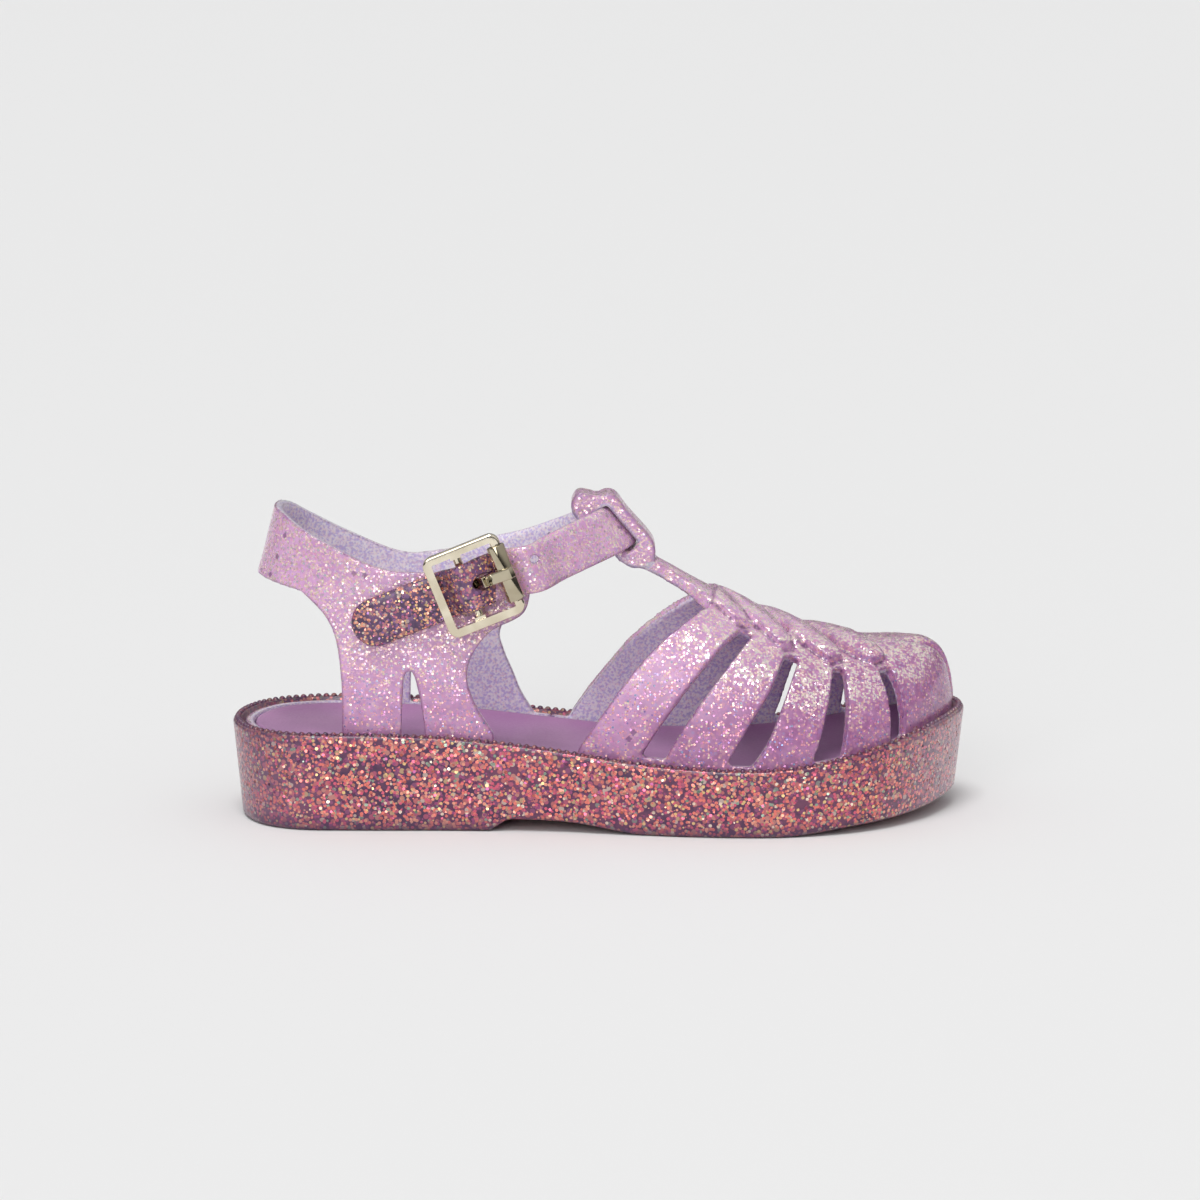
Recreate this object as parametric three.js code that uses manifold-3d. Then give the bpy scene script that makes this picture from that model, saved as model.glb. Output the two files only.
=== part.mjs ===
// A child's moulded jelly sandal for the right foot, with a woven vamp, a T-bar and a buckled ankle strap.
// Millimetres, +Z up, +X to the toe, +Y to the inner side of the foot, -Y to the buckle side.
import * as THREE from 'three';
import { mergeVertices } from 'three/addons/utils/BufferGeometryUtils.js';
import Module from 'manifold-3d';

const wasm = await Module();
wasm.setup();

// Sizes of the last and the sole
const LENGTH = 173;
const BALL_WIDTH = 67;
const RIM_HEIGHT = 22.8;
const ARCH_RISE = 2.8;
const TOE_SPRING = 4.2;
const HEEL_SEAT = 61;
const BREAST_RUN = 4;
const BOTTOM_INSET = 1.9;
const BOTTOM_ROUND = 1.3;
const RIM_ROUND = 0.8;
const RIM_WIDTH = 2.5;

// Sizes of the footbed
const INSOLE_THICKNESS = 3;
const INSOLE_SUNK = 2.4;
const INSOLE_CUP = 1.6;
const INSOLE_ROUND = 0.7;

// Sizes of the upper
const WALL = 2.2;
const RING_DROP = 0.6;
const INSTEP_HEIGHT = 65;
const SECTION_POWER = 2.3;
const TBAR_THICKNESS = 2.9;
const TBAR_HALF = 4.4;
const PAD_RISE = 1.3;
const PAD_HALF = 3.6;
const COLLAR_HEIGHT = 74;
const ANKLE_HALF = 22;
const ANKLE_BACK = 7;
const ANKLE_FRONT = 95;
const ANKLE_POWER = 2.5;
const HEEL_LEAN = 13;
const TBAR_SLOPE = 30;

// Places along the foot, from the back of the heel, and shares of the heights
const VAMP_TIP = 0.9995;
const QUARTER_FRONT = 72;
const STRAP_START = 52;
const STRAP_LEVEL = 0.6;
const KEEPER_X = 91;
const KEEPER_RISE = 7.6;
const SPINE_END = 0.57;
const BUCKLE_X = 57.7;
const BUCKLE_LEVEL = 0.69;
const PLUMB_LEVEL = 0.72;
const ANKLE_LEVEL = 0.8;
const FOOT_LEVEL = 0.12;

// Sizes of the strap, its keeper loop and its holes
const TAIL = 30;
const STRAP_WIDTH = 11.2;
const STRAP_THICKNESS = 2.2;
const KEEPER_WIDTH = 9.5;
const KEEPER_SLOT = 5;
const KEEPER_WALL = 2;
const KEEPER_LEAN = 40;
const PRONG_HOLE = 1.7;
const HOLE_STRETCH = 1.45;
const HOLE_PLACE = 2.3;
const SPARE_HOLE_SPACING = 12.5;

// Sizes of the buckle
const FRAME_LONG = 18.6;
const FRAME_TALL = 19.8;
const FRAME_BAR = 2.9;
const FRAME_THICKNESS = 2.4;
const FRAME_CORNER = 2.4;
const BAR_RADIUS = 1;
const BAR_DROP = 2.4;
const BAR_BACK = 1.5;
const ROLLER_RADIUS = 2.1;
const PRONG_WIDTH = 2.6;
const PRONG_THICKNESS = 1.4;
const PRONG_EYE = 0.55;
const BUCKLE_TILT = 22;

// Clearances between pieces
const GAP = 0.3;
const STRAP_LIFT = 0.4;
const ROLLER_GAP = 0.3;

// How finely the curved forms are drawn
const AROUND = 36;
const VAMP_ROWS = 20;
const VAMP_COLUMNS = 18;
const QUARTER_COLUMNS = 24;
const QUARTER_LEVELS = [0, 0.12, 0.28, 0.44, 0.6, 0.74, 0.88, 1.02];
const STRAP_STEPS = 50;
const SMALLEST_EDGE = 0.06;

// Half widths of the sole as shares of half the ball width, and rim heights as shares of the rim height
const PLAN = [
  { at: 0, lateral: 0, medial: 0, rim: 1 },
  { at: 0.03, lateral: 0.51, medial: 0.5, rim: 1 },
  { at: 0.09, lateral: 0.725, medial: 0.7, rim: 1 },
  { at: 0.18, lateral: 0.76, medial: 0.73, rim: 1 },
  { at: 0.3, lateral: 0.765, medial: 0.71, rim: 0.965 },
  { at: 0.42, lateral: 0.8, medial: 0.68, rim: 0.875 },
  { at: 0.54, lateral: 0.9, medial: 0.77, rim: 0.755 },
  { at: 0.66, lateral: 0.985, medial: 0.92, rim: 0.7 },
  { at: 0.76, lateral: 0.97, medial: 1, rim: 0.72 },
  { at: 0.86, lateral: 0.79, medial: 0.985, rim: 0.85 },
  { at: 0.94, lateral: 0.43, medial: 0.83, rim: 0.99 },
  { at: 0.985, lateral: 0.03, medial: 0.57, rim: 1.04 },
  { at: 1, lateral: -0.28, medial: 0.28, rim: 1.05 },
];

// Height of the sole's bottom: shares of the arch rise and of the toe spring
const BOTTOM = [
  { at: 0, arch: 0, spring: 0 },
  { at: 0.38, arch: 1, spring: 0 },
  { at: 0.46, arch: 0.85, spring: 0 },
  { at: 0.56, arch: 0, spring: 0 },
  { at: 0.74, arch: 0, spring: 0 },
  { at: 0.83, arch: 0, spring: 0.36 },
  { at: 0.9, arch: 0, spring: 0.56 },
  { at: 0.96, arch: 0, spring: 0.8 },
  { at: 1, arch: 0, spring: 1 },
];

// Top line of the last over the instep and toe, as shares of the instep height
const TOP = [
  { at: 0.399, height: 1.13 },
  { at: 0.498, height: 1 },
  { at: 0.567, height: 0.937 },
  { at: 0.626, height: 0.852 },
  { at: 0.685, height: 0.767 },
  { at: 0.745, height: 0.7 },
  { at: 0.804, height: 0.65 },
  { at: 0.863, height: 0.634 },
  { at: 0.92, height: 0.63 },
  { at: 0.955, height: 0.61 },
  { at: 0.978, height: 0.57 },
  { at: 0.99, height: 0.51 },
  { at: 1, height: 0.345 },
];

// Edges of the vamp's bands as shares of the length: up is 0 at the rim and 1 on the spine
const REAR_EDGE = [
  { up: 0, lateral: 0.461, medial: 0.451 },
  { up: 0.12, lateral: 0.498, medial: 0.49 },
  { up: 0.27, lateral: 0.538, medial: 0.535 },
  { up: 0.42, lateral: 0.577, medial: 0.579 },
  { up: 0.6, lateral: 0.616, medial: 0.618 },
  { up: 0.8, lateral: 0.646, medial: 0.646 },
  { up: 1, lateral: 0.656, medial: 0.656 },
];
const LATERAL_GAPS = [
  [{ up: 0, rear: 0.543, front: 0.575 }, { up: 0.17, rear: 0.588, front: 0.616 },
    { up: 0.42, rear: 0.641, front: 0.666 }, { up: 0.69, rear: 0.685, front: 0.703 }],
  [{ up: 0, rear: 0.66, front: 0.692 }, { up: 0.12, rear: 0.684, front: 0.721 },
    { up: 0.36, rear: 0.724, front: 0.748 }, { up: 0.62, rear: 0.748, front: 0.768 }],
  [{ up: 0, rear: 0.782, front: 0.826 }, { up: 0.12, rear: 0.795, front: 0.832 },
    { up: 0.33, rear: 0.808, front: 0.836 }, { up: 0.59, rear: 0.817, front: 0.831 }],
  [{ up: 0, rear: 0.899, front: 0.92 }, { up: 0.12, rear: 0.9, front: 0.92 },
    { up: 0.33, rear: 0.895, front: 0.914 }, { up: 0.55, rear: 0.882, front: 0.9 }],
];
const MEDIAL_GAPS = [
  [{ up: 0, rear: 0.532, front: 0.562 }, { up: 0.17, rear: 0.574, front: 0.6 },
    { up: 0.42, rear: 0.622, front: 0.646 }, { up: 0.69, rear: 0.66, front: 0.678 }],
  [{ up: 0, rear: 0.636, front: 0.666 }, { up: 0.14, rear: 0.664, front: 0.692 },
    { up: 0.38, rear: 0.699, front: 0.722 }, { up: 0.66, rear: 0.723, front: 0.741 }],
  [{ up: 0, rear: 0.738, front: 0.77 }, { up: 0.12, rear: 0.752, front: 0.781 },
    { up: 0.35, rear: 0.769, front: 0.793 }, { up: 0.63, rear: 0.783, front: 0.799 }],
  [{ up: 0, rear: 0.838, front: 0.867 }, { up: 0.12, rear: 0.844, front: 0.872 },
    { up: 0.33, rear: 0.85, front: 0.873 }, { up: 0.6, rear: 0.852, front: 0.866 }],
];

// Half width of the T-bar as a share of its plain half width: it widens into the vamp
const TBAR = [
  { at: 0.532, half: 1 },
  { at: 0.597, half: 1 },
  { at: 0.626, half: 1.3 },
  { at: 0.651, half: 2.2 },
  { at: 0.685, half: 2.8 },
];

// Side outline of the quarter. x is a share of the length; z is a share of the way from rim to collar
const LATERAL_QUARTER = [
  { x: 0.156, z: 0 }, { x: 0.156, z: 0.2 }, { x: 0.15, z: 0.4 }, { x: 0.136, z: 0.52 },
  { x: 0.108, z: 0.615 }, { x: 0.073, z: 0.7 }, { x: 0.03, z: 0.735 }, { x: -0.03, z: 0.735 },
  { x: -0.03, z: 0.995 }, { x: 0.045, z: 0.995 }, { x: 0.071, z: 0.975 }, { x: 0.103, z: 0.91 },
  { x: 0.142, z: 0.842 }, { x: 0.203, z: 0.752 }, { x: 0.253, z: 0.73 }, { x: 0.333, z: 0.74 },
  { x: 0.388, z: 0.76 }, { x: 0.405, z: 0.71 }, { x: 0.405, z: 0.6 }, { x: 0.393, z: 0.53 },
  { x: 0.355, z: 0.465 }, { x: 0.331, z: 0.364 }, { x: 0.323, z: 0.27 }, { x: 0.327, z: 0.19 },
  { x: 0.339, z: 0.1 }, { x: 0.358, z: 0 },
];
const MEDIAL_QUARTER = [
  { x: 0.156, z: 0 }, { x: 0.156, z: 0.2 }, { x: 0.15, z: 0.4 }, { x: 0.136, z: 0.52 },
  { x: 0.108, z: 0.615 }, { x: 0.073, z: 0.7 }, { x: 0.03, z: 0.735 }, { x: -0.03, z: 0.735 },
  { x: -0.03, z: 0.995 }, { x: 0.045, z: 0.995 }, { x: 0.071, z: 0.975 }, { x: 0.103, z: 0.9 },
  { x: 0.154, z: 0.8 }, { x: 0.223, z: 0.7 }, { x: 0.279, z: 0.705 }, { x: 0.333, z: 0.74 },
  { x: 0.373, z: 0.76 }, { x: 0.403, z: 0.7 }, { x: 0.403, z: 0.6 }, { x: 0.381, z: 0.46 },
  { x: 0.361, z: 0.33 }, { x: 0.366, z: 0.236 }, { x: 0.378, z: 0.14 }, { x: 0.39, z: 0.04 },
  { x: 0.407, z: -0.055 },
];
const LEG_SLOT = [
  { z: -0.08, rear: 0.235, front: 0.267 }, { z: 0.05, rear: 0.2355, front: 0.265 },
  { z: 0.16, rear: 0.237, front: 0.26 }, { z: 0.25, rear: 0.2385, front: 0.254 },
  { z: 0.285, rear: 0.243, front: 0.2495 },
];

// Keeper loop round the strap, in shares of the strap width along it and of the slot across it
const KEEPER_EDGE = [
  { along: -1, across: 0.15 }, { along: -0.79, across: 0.66 }, { along: -0.5, across: 0.8 },
  { along: 0.13, across: 0.76 }, { along: 0.54, across: 0.8 }, { along: 0.72, across: 0.55 },
  { along: 0.8, across: 0.1 }, { along: 0.96, across: -0.16 }, { along: 1.1, across: -0.5 },
  { along: 1.05, across: -0.95 }, { along: 0.86, across: -1.28 }, { along: 0.6, across: -1.3 },
  { along: 0.15, across: -1.14 }, { along: -0.45, across: -1.06 }, { along: -0.87, across: -0.75 },
];

// Leaf-shaped pads of the weave: each starts on one side of the spine and ends at the other side's gap
const LEAVES = [
  { fromAt: 0.613, fromUp: 0.8, toAt: 0.689, toUp: 0.74, side: 1, rise: 1 },
  { fromAt: 0.651, fromUp: 0.72, toAt: 0.751, toUp: 0.68, side: 1, rise: 1 },
  { fromAt: 0.713, fromUp: 0.7, toAt: 0.82, toUp: 0.65, side: 1, rise: 1 },
  { fromAt: 0.777, fromUp: 0.68, toAt: 0.882, toUp: 0.62, side: 1, rise: 1 },
  { fromAt: 0.636, fromUp: 0.78, toAt: 0.715, toUp: 0.72, side: -1, rise: 0.7 },
  { fromAt: 0.685, fromUp: 0.76, toAt: 0.779, toUp: 0.7, side: -1, rise: 0.7 },
  { fromAt: 0.755, fromUp: 0.74, toAt: 0.846, toUp: 0.67, side: -1, rise: 0.7 },
];

// Path of the ankle strap between the inner quarter and the buckle: shares from the quarter to the keeper
const STRAP_PATH = [
  { run: 0, out: 1, rise: 0, lean: 0, side: 1 },
  { run: 0.22, out: 0.97, rise: 0.2, lean: 3, side: 1 },
  { run: 0.46, out: 0.87, rise: 0.37, lean: 12, side: 1 },
  { run: 0.7, out: 0.68, rise: 0.63, lean: 25, side: 1 },
  { run: 0.89, out: 0.38, rise: 0.89, lean: 36, side: 1 },
  { run: 1, out: 0, rise: 1, lean: 40, side: 1 },
  { run: 0.93, out: 0.33, rise: 0.94, lean: 36, side: -1 },
  { run: 0.78, out: 0.62, rise: 0.81, lean: 26, side: -1 },
  { run: 0.62, out: 0.88, rise: 0.66, lean: 21, side: -1 },
];

const rad = THREE.MathUtils.degToRad;
const HALF = BALL_WIDTH / 2;
const UPPER_INSET = RIM_WIDTH + GAP;
const point = (x, y, z) => new THREE.Vector3(x, y, z);

// Smooth value of a table's column at a key; turned tables are read by angle, so that their ends round off
function read(table, key, column, value, warp = (v) => v) {
  const keys = table.map((row) => warp(row[key]));
  const at = THREE.MathUtils.clamp(warp(value), keys[0], keys.at(-1));
  let i = 0;
  while (i < keys.length - 2 && at > keys[i + 1]) i += 1;
  const slope = (j) => {
    const before = Math.max(0, j - 1);
    const after = Math.min(keys.length - 1, j + 1);
    return (table[after][column] - table[before][column]) / (keys[after] - keys[before]);
  };
  const span = keys[i + 1] - keys[i];
  const s = (at - keys[i]) / span;
  return (2 * s ** 3 - 3 * s ** 2 + 1) * table[i][column] + (s ** 3 - 2 * s ** 2 + s) * slope(i) * span
    + (3 * s ** 2 - 2 * s ** 3) * table[i + 1][column] + (s ** 3 - s ** 2) * slope(i + 1) * span;
}

const turned = (at) => Math.acos(THREE.MathUtils.clamp(1 - 2 * at, -1, 1)) / Math.PI;
const fromTurn = (t) => (1 - Math.cos(Math.PI * t)) / 2;
const rimAt = (x) => RIM_HEIGHT * read(PLAN, 'at', 'rim', x / LENGTH, turned);

// Point of the sole's outline, moved inwards by an inset; side is -1 at the buckle side and 1 inside
function outline(at, side, inset) {
  const column = side < 0 ? 'lateral' : 'medial';
  const raw = (a) => new THREE.Vector2(a * LENGTH, side * HALF * read(PLAN, 'at', column, a, turned));
  const step = 0.001;
  const t = THREE.MathUtils.clamp(turned(at), step, 1 - step);
  const along = raw(fromTurn(t + step)).sub(raw(fromTurn(t - step))).normalize();
  if (turned(at) < step) along.set(0, side);
  if (turned(at) > 1 - step) along.set(0, -side);
  return raw(at).add(new THREE.Vector2(along.y, -along.x).multiplyScalar(side * inset));
}

// Height of the sole's underside
function bottomAt(x) {
  const at = THREE.MathUtils.clamp(x / LENGTH, 0, 1);
  if (x <= HEEL_SEAT) return 0;
  const arch = Math.max(0, read(BOTTOM.slice(1), 'at', 'arch', at));
  const breast = Math.min(1, (x - HEEL_SEAT) / BREAST_RUN);
  return ARCH_RISE * arch * breast + TOE_SPRING * Math.max(0, read(BOTTOM, 'at', 'spring', at));
}

// Top of the pocket that the footbed lies in, and the footbed's own top in its middle
const insoleTop = (x) => rimAt(x) - INSOLE_SUNK;
const pocketFloor = (x) => insoleTop(x) - INSOLE_THICKNESS - GAP;

// Solids from closed lofts and slabs

function solidOf(points, faces) {
  const geometry = new THREE.BufferGeometry();
  const numbers = points.flatMap((p) => p.toArray());
  geometry.setAttribute('position', new THREE.Float32BufferAttribute(numbers, 3));
  geometry.setIndex(faces.flat());
  return toSolid(geometry);
}

function toSolid(geometry) {
  const bare = geometry.clone();
  bare.deleteAttribute('normal');
  bare.deleteAttribute('uv');
  const merged = mergeVertices(bare, 1e-4);
  return new wasm.Manifold(new wasm.Mesh({
    numProp: 3,
    vertProperties: new Float32Array(merged.attributes.position.array),
    triVerts: new Uint32Array(merged.index.array),
  }));
}

function toGeometry(solid) {
  const mesh = solid.simplify(SMALLEST_EDGE).getMesh();
  const geometry = new THREE.BufferGeometry();
  geometry.setAttribute('position', new THREE.BufferAttribute(new Float32Array(mesh.vertProperties), 3));
  geometry.setIndex(new THREE.BufferAttribute(new Uint32Array(mesh.triVerts), 1));
  geometry.computeVertexNormals();
  return geometry;
}

// Loft through closed rings that run up one side and back down the other; ladders close both ends
function loft(rings) {
  const count = rings[0].length;
  const faces = [];
  for (let r = 0; r < rings.length - 1; r += 1) {
    for (let k = 0; k < count; k += 1) {
      const next = (k + 1) % count;
      const a = r * count;
      const b = a + count;
      faces.push([a + k, a + next, b + next], [a + k, b + next, b + k]);
    }
  }
  const ladder = (base, flip) => {
    for (let k = 0; k < count / 2 - 1; k += 1) {
      const quad = [k, k + 1, (count - k - 1) % count, (count - k) % count].map((i) => base + i);
      const [a, b, c, d] = flip ? quad.reverse() : quad;
      if (k > 0) faces.push([a, b, c], [a, c, d]);
      else faces.push(flip ? [base, base + count - 1, base + 1] : [base, base + 1, base + count - 1]);
    }
    const far = base + count / 2;
    faces.push(flip ? [far - 1, far + 1, far] : [far - 1, far, far + 1]);
  };
  ladder(0, true);
  ladder((rings.length - 1) * count, false);
  return solidOf(rings.flat(), faces);
}

// Closed slab between two matching grids of points, the second lying behind the first
function slab(front, back) {
  const rows = front.length;
  const columns = front[0].length;
  const size = rows * columns;
  const faces = [];
  const id = (layer, r, c) => layer * size + r * columns + c;
  const quad = (a, b, c, d) => faces.push([a, b, c], [a, c, d]);
  for (let r = 0; r < rows - 1; r += 1) {
    for (let c = 0; c < columns - 1; c += 1) {
      quad(id(0, r, c), id(0, r, c + 1), id(0, r + 1, c + 1), id(0, r + 1, c));
      quad(id(1, r, c), id(1, r + 1, c), id(1, r + 1, c + 1), id(1, r, c + 1));
    }
    quad(id(0, r, 0), id(0, r + 1, 0), id(1, r + 1, 0), id(1, r, 0));
    quad(id(0, r + 1, columns - 1), id(0, r, columns - 1), id(1, r, columns - 1), id(1, r + 1, columns - 1));
  }
  for (let c = 0; c < columns - 1; c += 1) {
    quad(id(0, 0, c + 1), id(0, 0, c), id(1, 0, c), id(1, 0, c + 1));
    quad(id(0, rows - 1, c), id(0, rows - 1, c + 1), id(1, rows - 1, c + 1), id(1, rows - 1, c));
  }
  return solidOf([...front.flat(), ...back.flat()], faces);
}

const range = (count) => Array.from({ length: count + 1 }, (_, i) => i / count);
const join = (solids) => solids.reduce((whole, piece) => whole.add(piece));

// Stations round the sole: evenly turned, with closer ones at the heel breast
const STATIONS = [...range(AROUND), turned(HEEL_SEAT / LENGTH), turned((HEEL_SEAT + BREAST_RUN) / LENGTH)]
  .sort((a, b) => a - b).map(fromTurn);

// Closed ring of the sole's outline at an inset; height takes the point's x
function ringOf(inset, height) {
  const lateral = STATIONS.map((at) => outline(at, -1, inset));
  const medial = STATIONS.map((at) => outline(at, 1, inset)).slice(1, -1).reverse();
  return [...lateral, ...medial].map((p) => point(p.x, p.y, height(p.x)));
}

function outsoleSolid() {
  const round = BOTTOM_ROUND;
  return loft([
    ringOf(BOTTOM_INSET + round, (x) => bottomAt(x)),
    ringOf(BOTTOM_INSET + round * 0.3, (x) => bottomAt(x) + round * 0.3),
    ringOf(BOTTOM_INSET - round * 0.15, (x) => bottomAt(x) + round * 1.2),
    ringOf(BOTTOM_INSET * 0.25, (x) => THREE.MathUtils.lerp(bottomAt(x), rimAt(x), 0.55)),
    ringOf(0, (x) => rimAt(x) - RIM_ROUND * 1.5),
    ringOf(RIM_ROUND * 0.3, (x) => rimAt(x) - RIM_ROUND * 0.3),
    ringOf(RIM_ROUND, rimAt),
    ringOf(RIM_WIDTH, rimAt),
    ringOf(RIM_WIDTH, pocketFloor),
  ]);
}

// The footbed is cupped: its top rises from the middle to its edge
function insoleSolid() {
  const edge = UPPER_INSET + WALL + GAP;
  const base = (x) => pocketFloor(x) + GAP;
  const cup = (share) => (x) => insoleTop(x) + INSOLE_CUP * share;
  return loft([
    ringOf(edge + INSOLE_ROUND, base),
    ringOf(edge, (x) => base(x) + INSOLE_ROUND),
    ringOf(edge, (x) => cup(1)(x) - INSOLE_ROUND),
    ringOf(edge + INSOLE_ROUND, cup(1)),
    ringOf(edge + 4, cup(0.45)),
    ringOf(edge + 9, cup(0.08)),
  ]);
}

// The thin ring inside the sole's rim that joins the straps of the upper
function baseRing() {
  const low = (x) => pocketFloor(x) + GAP;
  const high = (x) => rimAt(x) - RING_DROP;
  const outer = loft([ringOf(UPPER_INSET, low), ringOf(UPPER_INSET, high)]);
  const under = (x) => low(x) - 1;
  const over = (x) => high(x) + 1;
  return outer.subtract(loft([ringOf(UPPER_INSET + WALL, under), ringOf(UPPER_INSET + WALL, over)]));
}

// The vamp

const topAt = (at) => INSTEP_HEIGHT * read(TOP, 'at', 'height', at, turned);

// Point of the last's surface over the forefoot. up runs from -1 at the buckle side to 1 at the inner side
function vampPoint(at, up, depth) {
  const lateral = outline(at, -1, UPPER_INSET + depth);
  const medial = outline(at, 1, UPPER_INSET + depth);
  const angle = (Math.PI / 2) * up;
  const share = (v) => Math.sign(v) * Math.abs(v) ** (2 / SECTION_POWER);
  const middle = lateral.clone().add(medial).multiplyScalar(0.5);
  const half = medial.clone().sub(lateral).multiplyScalar(0.5);
  const base = rimAt(middle.x) - RING_DROP - WALL / 2;
  const top = Math.max(base + 0.5, topAt(at) - depth);
  const place = middle.addScaledVector(half, share(Math.sin(angle)));
  return point(place.x, place.y, base + (top - base) * share(Math.cos(angle)));
}

// Outer and inner grids of the vamp, from its rear edge to the toe
function vampShell() {
  const layer = (depth) => range(VAMP_ROWS).map((u) => range(VAMP_COLUMNS).map((v) => {
    const up = 2 * v - 1;
    const rear = read(REAR_EDGE, 'up', up < 0 ? 'lateral' : 'medial', 1 - Math.abs(up));
    const turn = THREE.MathUtils.lerp(turned(rear), turned(VAMP_TIP), u);
    return vampPoint(fromTurn(turn), up, depth);
  }));
  return slab(layer(WALL), layer(0));
}

// Plate that closes the toe where the two sides of the vamp meet
function toeTip() {
  const layer = (back) => range(6).map((u) => [-1, 1].map((side) => {
    const edge = vampPoint(VAMP_TIP, side * (1 - 0.95 * u), WALL * 0.1);
    return edge.setX(edge.x - back);
  }));
  return slab(layer(WALL * 0.1), layer(WALL));
}

// Cutter for one gap between two bands, square to the wall
function gapCutter(rows, side) {
  const reach = 2.5;
  const layer = (depth) => [-0.03, ...range(6)].map((s) => {
    const up = s < 0 ? 0.03 : THREE.MathUtils.lerp(0.055, rows.at(-1).up, s);
    const across = side * (1 - up);
    return ['rear', 'front'].map((edge) => vampPoint(read(rows, 'up', edge, up), across, depth));
  });
  const near = layer(-reach);
  const far = layer(WALL + reach);
  return side < 0 ? slab(near, far) : slab(far, near);
}

// Raised leaf of the weave, crossing the spine
function leafPad(leaf) {
  const rows = range(5);
  const columns = [-1, -0.5, 0.5, 1];
  const layer = (lift, sunk) => rows.map((u) => columns.map((v) => {
    const at = THREE.MathUtils.lerp(leaf.fromAt, leaf.toAt, u);
    const up = THREE.MathUtils.lerp(leaf.side * (1 - leaf.fromUp), -leaf.side * (1 - leaf.toUp), u);
    const half = (PAD_HALF / LENGTH) * Math.sqrt(Math.sin(Math.PI * (0.06 + 0.88 * u)));
    const crown = (1 - 0.75 * v * v) * Math.sin(Math.PI * (0.1 + 0.8 * u)) ** 0.5;
    return vampPoint(at + half * v, up + 0.05 * v * leaf.side, sunk - lift * crown);
  }));
  const top = layer(PAD_RISE * leaf.rise, 0);
  const under = layer(0, WALL * 0.6);
  return leaf.side > 0 ? slab(under, top) : slab(top, under);
}

// The T-bar and its keeper

const keeperCentre = () => new THREE.Vector2(KEEPER_X, topAt(SPINE_END) + KEEPER_RISE);

function tbarSolid() {
  const layer = (depth) => range(12).map((u) => [-1, -0.5, 0, 0.5, 1].map((v) => {
    const at = THREE.MathUtils.lerp(TBAR[0].at, TBAR.at(-1).at, u);
    const half = TBAR_HALF * read(TBAR, 'at', 'half', at);
    const crown = 0.35 * (v * half / TBAR_HALF) ** 2;
    const x = at * LENGTH - depth * Math.sin(rad(TBAR_SLOPE));
    return point(x, half * v, topAt(at) - crown - depth * Math.cos(rad(TBAR_SLOPE)));
  }));
  return slab(layer(TBAR_THICKNESS), layer(0));
}

// Shape drawn in the side view, x and z, made a plate of some width across the foot
function sidePlate(shape, from, to, bevel = 0) {
  const geometry = new THREE.ExtrudeGeometry(shape, {
    depth: to - from - 2 * bevel,
    bevelEnabled: bevel > 0,
    bevelThickness: bevel,
    bevelSize: bevel,
    bevelOffset: -bevel,
    bevelSegments: 1,
    curveSegments: 8,
  });
  geometry.translate(0, 0, -to + bevel);
  geometry.rotateX(Math.PI / 2);
  return toSolid(geometry);
}

function keeperSolid() {
  const centre = keeperCentre();
  const place = (along, across) => new THREE.Vector2(
    centre.x - along * Math.sin(rad(KEEPER_LEAN)) + across * Math.cos(rad(KEEPER_LEAN)),
    centre.y + along * Math.cos(rad(KEEPER_LEAN)) + across * Math.sin(rad(KEEPER_LEAN)),
  );
  const edge = KEEPER_EDGE.map((row) => place(row.along * STRAP_WIDTH, row.across * KEEPER_SLOT));
  const smooth = new THREE.CatmullRomCurve3(edge.map((p) => point(p.x, p.y, 0)), true);
  const shape = new THREE.Shape(smooth.getPoints(40).slice(0, -1).map((p) => new THREE.Vector2(p.x, p.y)));
  const end = STRAP_WIDTH / 2 + STRAP_LIFT;
  const front = 0.8 * KEEPER_SLOT - KEEPER_WALL;
  const back = front - KEEPER_SLOT;
  const hole = [[-end, back], [end, back], [end, front], [-end, front]].map(([u, n]) => place(u, n));
  shape.holes.push(new THREE.Path(hole));
  return sidePlate(shape, -KEEPER_WIDTH / 2, KEEPER_WIDTH / 2, 0.5);
}

// The quarter: collar and legs

const collarZ = (share) => RIM_HEIGHT + share * (COLLAR_HEIGHT - RIM_HEIGHT);

// Half width of the ankle at a share of its length
const ankleHalf = (share) => (1 - Math.abs(2 * share - 1) ** ANKLE_POWER) ** (1 / ANKLE_POWER);

// Point of the quarter's wall: turn runs from -1 at the buckle side round the heel to 1 at the inner side
function quarterPoint(turn, height, depth) {
  const side = Math.sign(turn) || 1;
  const target = QUARTER_FRONT * (1 - Math.cos((Math.PI / 2) * Math.abs(turn)));
  const foot = outline(target / LENGTH, side, UPPER_INSET + depth);
  const back = ANKLE_BACK + depth + HEEL_LEAN * (height - PLUMB_LEVEL);
  const share = (target / QUARTER_FRONT) * (QUARTER_FRONT - back) / (ANKLE_FRONT - depth - back);
  const x = back + target * (QUARTER_FRONT - back) / QUARTER_FRONT;
  const y = side * (ANKLE_HALF - depth) * ankleHalf(share);
  const blend = THREE.MathUtils.smoothstep(height, 0, ANKLE_LEVEL);
  const base = rimAt(target) - RING_DROP - WALL / 2;
  return point(
    THREE.MathUtils.lerp(foot.x, x, blend),
    THREE.MathUtils.lerp(foot.y, y, blend),
    THREE.MathUtils.lerp(base, collarZ(height), Math.min(1, height / FOOT_LEVEL)),
  );
}

function quarterWall() {
  const layer = (depth) => range(QUARTER_COLUMNS)
    .map((u) => QUARTER_LEVELS.map((level) => quarterPoint(2 * u - 1, level, depth)));
  return slab(layer(0), layer(WALL));
}

const quarterPlace = (row) => new THREE.Vector2(row.x * LENGTH, collarZ(row.z));

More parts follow.
